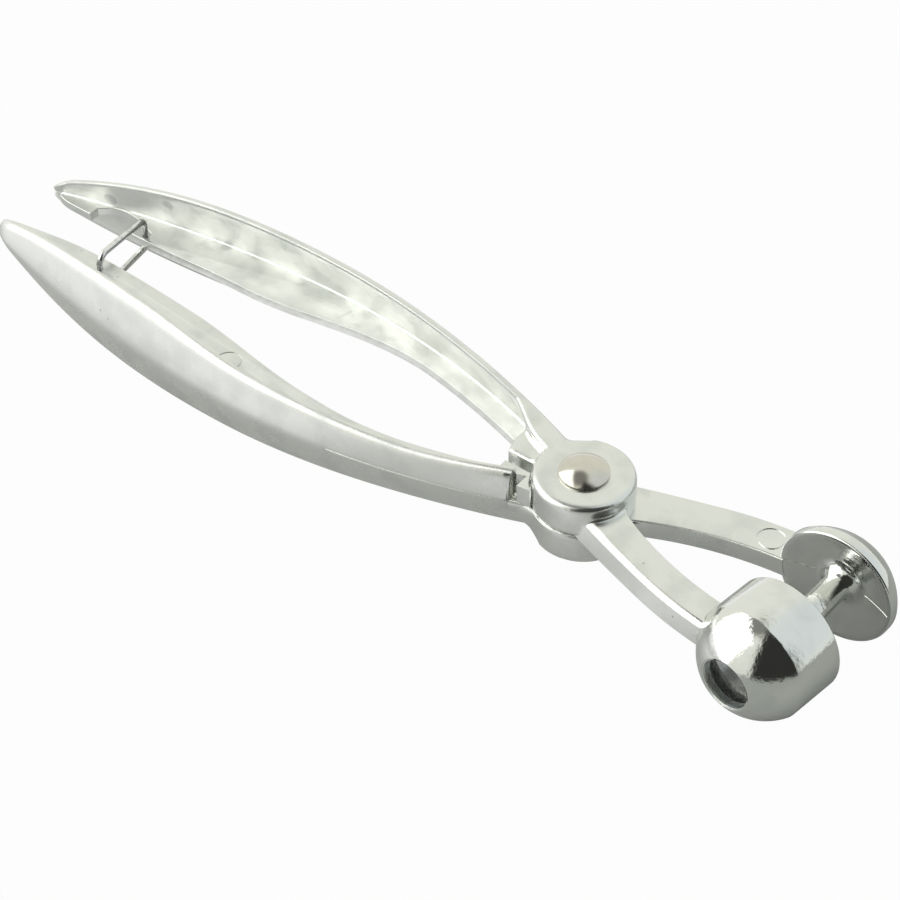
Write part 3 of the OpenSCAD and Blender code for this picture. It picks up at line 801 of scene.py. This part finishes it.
def dish_and_plunger(jaw, thin=0):
    """Dish with its domed back, hollow face and flared plunger, in one turned shape, shaved by thin."""
    rim, soft = jaw.dish_r - thin, jaw.edge
    flare = jaw.plunger_flare + thin
    wide = jaw.plunger_r - thin + flare
    outlet = math.sqrt((jaw.cup_r - jaw.cup_wall) ** 2 - jaw.outlet_r ** 2)
    reach = jaw.dish_set + jaw.cup_set + outlet + jaw.plunger_past - thin
    dome = list(reversed(cap_arc(rim, jaw.dish_dome - thin, jaw.dish_lip)))
    corner = arc((rim - soft, thin + soft), soft, 0, -math.pi / 2, 6)
    hollow = [p for p in cap_arc(jaw.dish_r - jaw.dish_ring, jaw.dish_hollow, thin) if p[0] > wide]
    foot = hollow[-1]
    flare_arc = arc((foot[0], foot[1] - flare), flare, math.pi / 2, math.pi, 12)[1:]
    shank = flare_arc[-1][0]
    tip = [(shank, jaw.plunger_edge - reach), (shank - jaw.plunger_edge, -reach), (0, -reach)]
    return turned(dome + corner + hollow + flare_arc + tip, jaw_place(jaw, 0, jaw.dish_set))


def dish_room(jaw):
    """Cutter for what the arm would fill of the dish's hollow."""
    rim = jaw.dish_r - jaw.dish_ring
    outline = [(0, -jaw.arm_t), (rim, -jaw.arm_t)] + cap_arc(rim, jaw.dish_hollow + THIN, 0)
    return turned(outline, jaw_place(jaw, 0, jaw.dish_set))


def dish_flash(jaw, h, hub):
    """Flash line that the mould's parting left across the dish's hollow."""
    rim = jaw.dish_r - jaw.dish_ring
    start = jaw.plunger_r + jaw.plunger_flare
    section = [(r, z) for r, z in cap_arc(rim, jaw.dish_hollow, 0) if r > start]
    depth = hub.gap / 2 + h.flash
    lines = []
    for side in (-1, 1):
        path = [Vector((side * r, depth, z)) for r, z in section]
        lines += moved([tube(path, h.flash, 8)], jaw_place(jaw, 0, jaw.dish_set))
    return lines


def latch_end(latch, swing):
    """Middle of the cross wire in plan when the loop has swung."""
    a = latch.lean + swing
    return Vector((LATCH_PIVOT.x - latch.reach * math.sin(a), LATCH_PIVOT.y + latch.reach * math.cos(a)))


def neck_corner(h, place):
    """Ball round the corner between the wall's outer face and its own hub."""
    return place @ Vector((-h.neck_in - OVER, -h.stop_y - OVER, -h.neck_depth)), h.neck_blend


def notch_cutter(latch, h, extra=0, steps=12):
    """Cutter for the notch: the cross wire's way out of the far web, behind a hook nose."""
    room = latch.wire + latch.room + extra
    path = []
    for k in range(steps + 1):
        f = k / steps
        path.append(Matrix.Rotation(-CLOSE * f, 2) @ latch_end(latch, latch.swing * f))
    seat, out = path[0], path[-1]
    nose = seat.x - latch.nose
    deep = seat.y - latch.reach
    back = arc(seat, room, -math.pi / 2, math.pi / 2, 10)
    upper = [(p.x, p.y + room) for p in path[1:]]
    mouth = [(out.x - room, out.y), (out.x - room, deep), (nose, deep), (nose, seat.y - room)]
    return plate(back + upper + mouth, -h.web_off - h.web - OVER, OVER)


# Shader maths as expressions

class Shade:
    """A shader socket: arithmetic on it adds Math nodes to its tree."""

    def __init__(self, tree, socket=None):
        self.tree = tree
        self.socket = socket

    def node(self, kind, settings=None, inputs=None, output=0):
        """Any other node: its type, its settings, then its sockets' values or links."""
        made = self.tree.nodes.new(kind)
        for name, value in (settings or {}).items():
            setattr(made, name, value)
        for name, value in (inputs or {}).items():
            if isinstance(value, Shade):
                self.tree.links.new(value.socket, made.inputs[name])
            else:
                made.inputs[name].default_value = value
        return Shade(self.tree, made.outputs[output]) if made.outputs else made

    def maths(self, operation, first, second):
        """A Math node on two values."""
        return self.node("ShaderNodeMath", {"operation": operation}, {0: first, 1: second})

    def __add__(self, other):
        return self.maths("ADD", self, other)

    def __sub__(self, other):
        return self.maths("SUBTRACT", self, other)

    def __mul__(self, other):
        return self.maths("MULTIPLY", self, other)

    def __rsub__(self, other):
        return self.maths("SUBTRACT", other, self)

    __radd__ = __add__
    __rmul__ = __mul__

    def step(self, low, high):
        """0 below low and 1 above high, smooth between."""
        return self.node(
            "ShaderNodeMapRange", {"interpolation_type": "SMOOTHSTEP"},
            {"Value": self, "From Min": low, "From Max": high},
        )

    def mix(self, first, second, factor):
        """First colour where factor is 0 and second where it is 1."""
        pad = [c if isinstance(c, Shade) else (*c, 1) for c in (first, second)]
        return self.node("ShaderNodeMix", {"data_type": "RGBA"}, {0: factor, 6: pad[0], 7: pad[1]}, 2)


def new_metal(name):
    """A metal with its shader and its Object coordinates."""
    material = bpy.data.materials.new(name)
    material.use_nodes = True
    tree = material.node_tree
    shader = tree.nodes["Principled BSDF"]
    shader.inputs["Metallic"].default_value = 1
    return material, shader, Shade(tree).node("ShaderNodeTexCoord", output=3)


def noise(where, per_metre, detail, stretch=(1, 1, 1)):
    """Soft noise with so many features in a metre, stretched along the axes."""
    spread = where.node("ShaderNodeMapping", {}, {"Vector": where, "Scale": stretch})
    return where.node("ShaderNodeTexNoise", {}, {"Vector": spread, "Scale": per_metre, "Detail": detail})


def bumped(where, strength, distance, height):
    """Normals of a height, in shares of a distance."""
    return where.node("ShaderNodeBump", {}, {"Strength": strength, "Distance": distance, "Height": height})


def plug(shader, **inputs):
    """Links expressions to the shader's sockets."""
    for name, value in inputs.items():
        value.tree.links.new(value.socket, shader.inputs[name.replace("_", " ")])


def beside_handles(where, h):
    """Place along the tool, and distance outside the handles' bowed outer faces, negative within."""
    axes = where.node("ShaderNodeSeparateXYZ", {}, {0: where}).socket.node.outputs
    along, across = Shade(where.tree, axes[0]), Shade(where.tree, axes[1])
    span = (along + h.bow_s) * (1 / h.bow_s)
    reach = where.maths("ABSOLUTE", across, 0)
    return along, reach + span * span * (h.bow_y - h.tip_y) - h.bow_y


def around(where, place, inner, outer):
    """1 within the inner distance from a place and 0 past the outer one."""
    ends = {0: where, 1: tuple(place)}
    apart = where.node("ShaderNodeVectorMath", {"operation": "DISTANCE"}, ends, 1)
    return 1 - apart.step(inner, outer)


def cast_metal(s, name, shade_and_spot_places):
    """Die-cast aluminium: bright skin with stains, drag lines and pits, frosty insides, polished jaws;
    painted shade in the pits, and a darker grey at the places given.
    """
    finish = s.finish
    material, shader, where = new_metal(name)
    along, beside = beside_handles(where, s.handle)
    jaws = along.step(finish.polish_from, finish.polish_full)
    behind = 1 - beside.step(-finish.frost_full, -finish.frost_from)
    inside = behind * (1 - along.step(-finish.frost_fade, -finish.frost_end))
    # Painted shade in the cup and at the near tip, and darker spots at the ejector pins, as given
    dull = sum(depth * around(where, place, inner, outer) for place, inner, outer, depth in shade_and_spot_places)
    stains = noise(where, per_metre=130, detail=4).step(0.42, 0.68)
    frost = noise(where, per_metre=380, detail=6).step(0.45, 0.65) * inside
    drag = noise(where, per_metre=1400, detail=2, stretch=(1, 1, 0.05))
    grain = noise(where, per_metre=2600, detail=2)
    cells = where.node("ShaderNodeTexVoronoi", {}, {"Vector": where, "Scale": 260})
    chosen = noise(where, per_metre=90, detail=1).step(0.56, 0.6)
    # Pits, bumped in and painted darker as shade in them
    pits = (1 - cells.step(0.03, 0.09)) * chosen
    skin = where.mix(finish.cast_light, finish.cast_dark, stains * 0.35)
    # Base colour with painted shade in the pits and at the places given
    base = where.mix(where.mix(skin, finish.pit_shade, pits * 0.6), finish.dull, dull)
    satin = 0.22 + 0.09 * stains + 0.10 * inside + 0.08 * frost + 0.05 * drag
    rough = satin * (1 - 0.68 * jaws) + 0.15 * dull
    peel = noise(where, per_metre=1000, detail=4) * jaws
    height = 0.5 * drag + 0.35 * grain + 0.14 * stains + 0.22 * frost + 1.7 * peel - 1.2 * pits
    plug(shader, Base_Color=base, Roughness=rough, Normal=bumped(where, 0.22, finish.bump, height))
    return material


def rivet_steel(finish):
    """Warm plated steel with faint smears."""
    material, shader, where = new_metal("rivet_steel")
    smear = noise(where, per_metre=500, detail=3)
    dust = noise(where, per_metre=4000, detail=2)
    tint = where.mix(finish.rivet, [0.86 * c for c in finish.rivet], smear)
    bump = bumped(where, 0.06, finish.wire_bump, dust)
    plug(shader, Base_Color=tint, Roughness=0.10 + 0.10 * smear, Normal=bump)
    return material


def wire_steel(finish):
    """Drawn wire: long die lines and dull spots."""
    material, shader, where = new_metal("wire_steel")
    lines = noise(where, per_metre=2200, detail=2, stretch=(1, 0.08, 1))
    spots = noise(where, per_metre=700, detail=3).step(0.5, 0.7)
    tint = where.mix(finish.wire, [0.62 * c for c in finish.wire], spots)
    bump = bumped(where, 0.2, finish.wire_bump, lines)
    plug(shader, Base_Color=tint, Roughness=0.22 + 0.2 * spots, Normal=bump)
    return material


# Operators, one for each piece

def cast_body(name, shapes, cutters, finish, corners):
    """Casting in one skin: fused, carved, fused again, softened, and blended in its corners."""
    body = new_piece(name, shapes)
    fuse(body, finish.voxel)
    carve(body, cutters)
    fuse(body, finish.voxel)
    soften(body, finish.soften)
    soften(body, finish.blend, corners)
    return body


def laid(name, shapes, cutters=()):
    """Clean part that is laid over a casting's fused body, with its cuts."""
    piece = new_piece(name, shapes)
    if cutters:
        carve(piece, cutters)
    return piece


def finish_lever(body, node, metal, soft, crisp, bevel):
    """Gives a lever's soft and crisp parts their edges, metal and body."""
    for piece in crisp:
        bevelled(piece, bevel)
        shade(piece, metal, sharp=15)
    for piece in soft:
        shade(piece, metal)
    for piece in soft + crisp:
        ride(piece, body, node)


class PITTER_OT_lower_lever(bpy.types.Operator):
    """Casts the lower lever: near handle, lower hub, far arm, dish and plunger"""
    bl_idname = "pitter.lower_lever"
    bl_label = "Lower lever"

    def execute(self, context):
        s = context.scene.pitter
        h, hub, jaw, latch, finish = s.handle, s.hub, s.jaw, s.latch, s.finish
        low, high = h.web_off - OVER, h.web_off + h.web + OVER
        wire_hole = latch.wire + latch.fit
        web_form = (h, h.near_web, h.near_web_s, h.near_tip_in, latch.ear)
        dish_place = LIFT @ jaw_place(jaw, 0, jaw.dish_set + jaw.dish_lip)
        corners = [(dish_place.translation, jaw.dish_r + h.wall), neck_corner(h, LIFT)]
        shapes = lever_blank(s, h.near_tip_in)
        shapes += [web_plate(*web_form, THIN), dish_and_plunger(jaw, THIN)]
        cutters = moved([hub_clearance(hub), dish_room(jaw)], LIFT)
        body = cast_body("cast_lower_lever", moved(shapes, LIFT), cutters, finish, corners)
        carve(body, moved([drum(wire_hole + THIN, low, high, LATCH_PIVOT)], LIFT))
        shapes = moved([handle_wall(h, hub, h.near_tip_in), flash_line(h, hub)], LIFT)
        wall = laid("cast_near_wall", shapes)
        cutters = moved([drum(wire_hole, low, high, LATCH_PIVOT), web_mark(jaw, h)], LIFT)
        web = laid("cast_near_web", moved([web_plate(*web_form)], LIFT), cutters)
        shapes = moved([stop_block(h, -hub.gap, h.neck_h - h.wall)], LIFT)
        stop = laid("cast_near_stop", shapes, moved([hub_clearance(hub)], LIFT))
        cutters = moved([arm_mark(jaw, hub), dish_room(jaw)], LIFT)
        arm = laid("cast_far_arm", moved([jaw_arm(jaw, hub)], LIFT), cutters)
        dish = laid("cast_dish", moved([dish_and_plunger(jaw)] + dish_flash(jaw, h, hub), LIFT))
        # Painted shade of the small hollow at the near tip, in the dull grey
        pit_shade_place = Vector((-h.reach + h.tip_round, -h.tip_y, PIVOT.z - h.flash))
        core, rim, depth = TIP_PIT_SHADE
        metal = cast_metal(s, "near_casting", [(pit_shade_place, core * MM, rim * MM, depth)])
        finish_lever("root", "lower_lever", metal, (body, wall, arm, dish), (web, stop), finish.bevel)
        return {"FINISHED"}


class PITTER_OT_upper_lever(bpy.types.Operator):
    """Casts the upper lever: far handle, upper hub, near arm and cup"""
    bl_idname = "pitter.upper_lever"
    bl_label = "Upper lever"

    def execute(self, context):
        s = context.scene.pitter
        h, hub, jaw, finish = s.handle, s.hub, s.jaw, s.finish
        turn = LIFT @ Matrix.Rotation(math.pi, 4, "X")
        web_form = (h, h.far_web, h.far_web_s, h.far_tip_in)
        ball = (LIFT @ jaw_place(jaw, CLOSE, -jaw.cup_set)).translation
        corners = [(ball, jaw.cup_r + 2 * h.wall), neck_corner(h, turn)]
        shapes = moved(lever_blank(s, h.far_tip_in) + [web_plate(*web_form, thin=THIN)], turn)
        shapes += moved([cup_shell(jaw, THIN)], LIFT)
        cutters = moved([cup_room(jaw), notch_cutter(s.latch, h, THIN)], LIFT)
        cutters += moved([hub_clearance(hub)], turn)
        body = cast_body("cast_upper_lever", shapes, cutters, finish, corners)
        shapes = moved([handle_wall(h, hub, h.far_tip_in), flash_line(h, hub)], turn)
        wall = laid("cast_far_wall", shapes)
        cutters = moved([notch_cutter(s.latch, h)], LIFT)
        web = laid("cast_far_web", moved([web_plate(*web_form)], turn), cutters)
        shapes = moved([stop_block(h, -hub.gap, h.neck_h - h.wall)], turn)
        stop = laid("cast_far_stop", shapes, moved([hub_clearance(hub)], turn))
        cutters = moved([cup_room(jaw)], LIFT) + moved([arm_mark(jaw, hub)], turn)
        arm = laid("cast_near_arm", moved([jaw_arm(jaw, hub)], turn), cutters)
        cup = laid("cast_cup", moved([cup_shell(jaw)], LIFT))
        # Painted shade inside the cup's hollow and on the inner part of the outlet's bore
        hollow = jaw.cup_r - finish.cup_painted_shade_depth * jaw.cup_wall
        shade_and_spot_places = [(ball, hollow - THIN, hollow + THIN, finish.cup_painted_shade)]
        for place, core, rim, depth in PIN_SPOTS:
            shade_and_spot_places.append((Vector(place) * MM, core * MM, rim * MM, depth))
        metal = cast_metal(s, "far_casting", shade_and_spot_places)
        finish_lever("upper", "upper_lever", metal, (body, wall, arm, cup), (web, stop), finish.bevel)
        return {"FINISHED"}


class PITTER_OT_pivot_rivet(bpy.types.Operator):
    """Turns the domed rivet"""
    bl_idname = "pitter.pivot_rivet"
    bl_label = "Pivot rivet"

    def execute(self, context):
        s = context.scene.pitter
        hub = s.hub
        head = hub.height + hub.gap
        soft = hub.head_edge / 2
        edge = arc((hub.head_r - soft, head + soft), soft, -math.pi / 2, 0, 6)
        dome = cap_arc(hub.head_r, hub.head_dome, head + hub.head_edge)
        outline = [
            (0, -hub.height), (hub.tail_r, -hub.height), (hub.tail_r, hub.tail_h - hub.height),
            (hub.shank, hub.tail_h - hub.height), (hub.shank, head),
        ] + edge + dome
        piece = new_piece("turned_rivet", moved([turned(outline)], LIFT))
        shade(piece, rivet_steel(s.finish))
        ride(piece, "root", "pivot_rivet")
        return {"FINISHED"}


class PITTER_OT_return_spring(bpy.types.Operator):
    """Winds the hidden return spring"""
    bl_idname = "pitter.return_spring"
    bl_label = "Return spring"

    def execute(self, context):
        s = context.scene.pitter
        hub = s.hub
        rise = hub.coil_turns * hub.coil_pitch
        steps = round(hub.coil_turns * hub.coil_steps)
        whole = 2 * math.pi * hub.coil_turns
        path = [Vector((hub.coil_r, -hub.coil_leg * f, -rise / 2)) for f in (1, 0.5)]
        for k, (x, y) in enumerate(arc((0, 0), hub.coil_r, 0, whole, steps)):
            path.append(Vector((x, y, rise * (k / steps - 0.5))))
        end, way = path[-1], Vector((-math.sin(whole), math.cos(whole), 0))
        path += [end + way * hub.coil_leg * f for f in (0.5, 1)]
        piece = new_piece("wound_spring", moved([tube(path, hub.coil_wire, 12)], LIFT))
        shade(piece, wire_steel(s.finish))
        ride(piece, "root", "return_spring")
        return {"FINISHED"}


class PITTER_OT_latch_loop(bpy.types.Operator):
    """Bends the wire latch"""
    bl_idname = "pitter.latch_loop"
    bl_label = "Latch loop"

    def execute(self, context):
        s = context.scene.pitter
        h, latch = s.handle, s.latch
        leg = h.web_off + h.web + latch.gap + latch.wire
        bend = latch.gap + latch.wire
        mid = h.web_off + h.web / 2
        far = latch.reach
        wide, raised = 2 * bend, bend + latch.rise
        quarter = arc((0, 0), 1, 0, math.pi / 2, 10)
        outline = [(0, mid + latch.ends)]
        outline += [(wide - wide * x, leg - bend + raised * y) for x, y in quarter]
        outline += arc((far - bend, leg - bend), bend, math.pi / 2, 0, 8)
        outline += arc((far - bend, bend - leg), bend, 0, -math.pi / 2, 8)
        outline += arc((bend, bend - leg), bend, -math.pi / 2, -math.pi, 8) + [(0, mid - latch.ends)]
        place = (
            LIFT @ Matrix.Translation(LATCH_PIVOT) @ Matrix.Rotation(math.pi / 2 + latch.lean, 4, "Z")
            @ Matrix.Rotation(math.pi / 2, 4, "X")
        )
        path = [Vector((x, y, 0)) for x, y in outline]
        piece = new_piece("bent_latch", moved([tube(path, latch.wire)], place))
        shade(piece, bpy.data.materials.get("wire_steel") or wire_steel(s.finish), sharp=60)
        ride(piece, "latch", "latch_loop")
        return {"FINISHED"}


# Stage: camera, floor, lamp and world

class PITTER_OT_stage(bpy.types.Operator):
    """Sets the camera, the soft studio light and the pale floor"""
    bl_idname = "pitter.stage"
    bl_label = "Studio stage"

    def execute(self, context):
        scene = context.scene
        stage = scene.pitter.stage
        scene.view_settings.view_transform = "Standard"
        self.camera(scene, stage)
        self.floor(stage, scene.pitter.handle)
        self.lamp(scene, stage)
        self.world(scene, stage)
        return {"FINISHED"}

    def camera(self, scene, stage):
        """Camera at the photograph's viewpoint."""
        data = bpy.data.cameras.new("camera")
        data.sensor_width = stage.sensor
        data.lens = stage.lens
        data.clip_start = stage.clip
        camera = bpy.data.objects.new("camera", data)
        right = Vector(stage.right).normalized()
        forward = Vector(stage.forward).normalized()
        up = right.cross(forward)
        turn = Matrix((right, up, -forward)).transposed().to_4x4()
        camera.matrix_world = Matrix.Translation(stage.eye) @ turn
        scene.collection.objects.link(camera)
        scene.camera = camera

    def floor(self, stage, h):
        """Pale floor that is white to the camera and in part in reflections, where it carries painted light
        and painted shade, and keeps a soft shadow.
        """
        bm = bmesh.new()
        bmesh.ops.create_grid(bm, x_segments=1, y_segments=1, size=stage.floor_half)
        bmesh.ops.translate(bm, verts=bm.verts, vec=(0, 0, CAD_BOX[0].z - THIN / 4))
        floor = new_piece("floor", [bm])
        material = bpy.data.materials.new("floor_paper")
        material.use_nodes = True
        tree = material.node_tree
        tree.nodes.clear()
        start = Shade(tree)
        ray = start.node("ShaderNodeLightPath").socket.node.outputs
        along, beside = beside_handles(start.node("ShaderNodeTexCoord", output=3), h)
        # Painted light beside and between the handles, and painted shade by the neck and under the jaws,
        # seen only by glossy and transmission rays
        neck = along.step(*PAINTED_SHADE_NECK_STARTS) * (1 - along.step(*PAINTED_SHADE_NECK_ENDS))
        bright = beside.step(*PAINTED_LIGHT_BESIDE_WALLS) * (1 - along.step(*PAINTED_LIGHT_FADES_TO_JAWS)) * (1 - stage.floor_painted_shade_by_neck * neck)
        between = (1 - beside.step(*PAINTED_LIGHT_BETWEEN_WALLS)) * (1 - along.step(*PAINTED_LIGHT_FADES_TO_HUB))
        level = stage.floor_mirrored - stage.floor_painted_shadow_under_jaws * along.step(*PAINTED_SHADOW_UNDER_JAWS)
        level = level + stage.floor_painted_light_beside * bright + stage.floor_painted_light_between * between
        mirrored = (Shade(tree, ray["Is Glossy Ray"]) + Shade(tree, ray["Is Transmission Ray"])) * level
        seen = Shade(tree, ray["Is Camera Ray"]) * stage.floor_seen
        paper = start.node("ShaderNodeBsdfDiffuse", {}, {"Color": (*stage.floor, 1)})
        white = start.node("ShaderNodeEmission", {}, {"Color": (1, 1, 1, 1), "Strength": 1})
        both = start.node("ShaderNodeMixShader", {}, {0: seen + mirrored, 1: paper, 2: white})
        start.node("ShaderNodeOutputMaterial", {}, {"Surface": both})
        floor.data.materials.append(material)

    def lamp(self, scene, stage):
        """One large soft box at the front left."""
        data = bpy.data.lights.new("key_box", "AREA")
        data.shape = "SQUARE"
        data.size = stage.lamp_size
        data.energy = stage.lamp_power
        lamp = bpy.data.objects.new("key_box", data)
        way = Vector(stage.lamp)
        lamp.matrix_world = Matrix.Translation(way) @ way.to_track_quat("Z", "Y").to_matrix().to_4x4()
        scene.collection.objects.link(lamp)

    def world(self, scene, stage):
        """White room for the camera; pale walls with a dim side in reflections and light."""
        world = bpy.data.worlds.new("studio")
        scene.world = world
        world.use_nodes = True
        tree = world.node_tree
        tree.nodes.clear()
        start = Shade(tree)
        way = start.node("ShaderNodeTexCoord", output=0)

        def towards(side, outside, inside):
            """0 past the outer angle from a side and 1 within the inner one."""
            ends = {0: way, 1: tuple(Vector(side).normalized())}
            dot = start.node("ShaderNodeVectorMath", {"operation": "DOT_PRODUCT"}, ends, 1)
            return dot.step(math.cos(math.radians(outside)), math.cos(math.radians(inside)))

        corner = towards(*DIM_RIGHT) * towards(*DIM_FRONT)
        wall = start.mix(stage.warm_wall, stage.cool_wall, towards(*COOL_SIDE))
        level = (1 - stage.dim * corner) * (1 - stage.dark * towards(*DARK_ABOVE))
        tone = start.mix((0, 0, 0), wall, level)
        ray = start.node("ShaderNodeLightPath").socket.node.outputs
        white = Shade(tree, ray["Is Camera Ray"]) + Shade(tree, ray["Is Transmission Ray"])
        room = start.mix(tone, (1, 1, 1), white)
        light = start.node("ShaderNodeBackground", {}, {"Color": room, "Strength": 1})
        start.node("ShaderNodeOutputWorld", {}, {"Surface": light})


class PITTER_PT_panel(bpy.types.Panel):
    """Buttons for the pieces of the cherry pitter"""
    bl_idname = "PITTER_PT_panel"
    bl_label = "Cherry pitter"
    bl_space_type = "VIEW_3D"
    bl_region_type = "UI"
    bl_category = "Pitter"

    def draw(self, context):
        for operator in OPERATORS:
            self.layout.operator(operator.bl_idname)


GROUPS = (
    PITTER_PG_hub, PITTER_PG_handle, PITTER_PG_jaw, PITTER_PG_latch, PITTER_PG_finish, PITTER_PG_stage,
    PITTER_PG_settings,
)
OPERATORS = (
    PITTER_OT_lower_lever, PITTER_OT_upper_lever, PITTER_OT_pivot_rivet,
    PITTER_OT_return_spring, PITTER_OT_latch_loop, PITTER_OT_stage,
)
CLASSES = GROUPS + OPERATORS + (PITTER_PT_panel,)


def register():
    """Adds the classes and the scene's settings."""
    for cls in CLASSES:
        bpy.utils.register_class(cls)
    bpy.types.Scene.pitter = PointerProperty(type=PITTER_PG_settings)


def unregister():
    """Takes the settings and the classes out again."""
    del bpy.types.Scene.pitter
    for cls in reversed(CLASSES):
        bpy.utils.unregister_class(cls)


def main():
    """Builds every piece and the stage."""
    register()
    bpy.ops.pitter.lower_lever()
    bpy.ops.pitter.upper_lever()
    bpy.ops.pitter.pivot_rivet()
    bpy.ops.pitter.return_spring()
    bpy.ops.pitter.latch_loop()
    bpy.ops.pitter.stage()


if __name__ == "__main__":
    main()
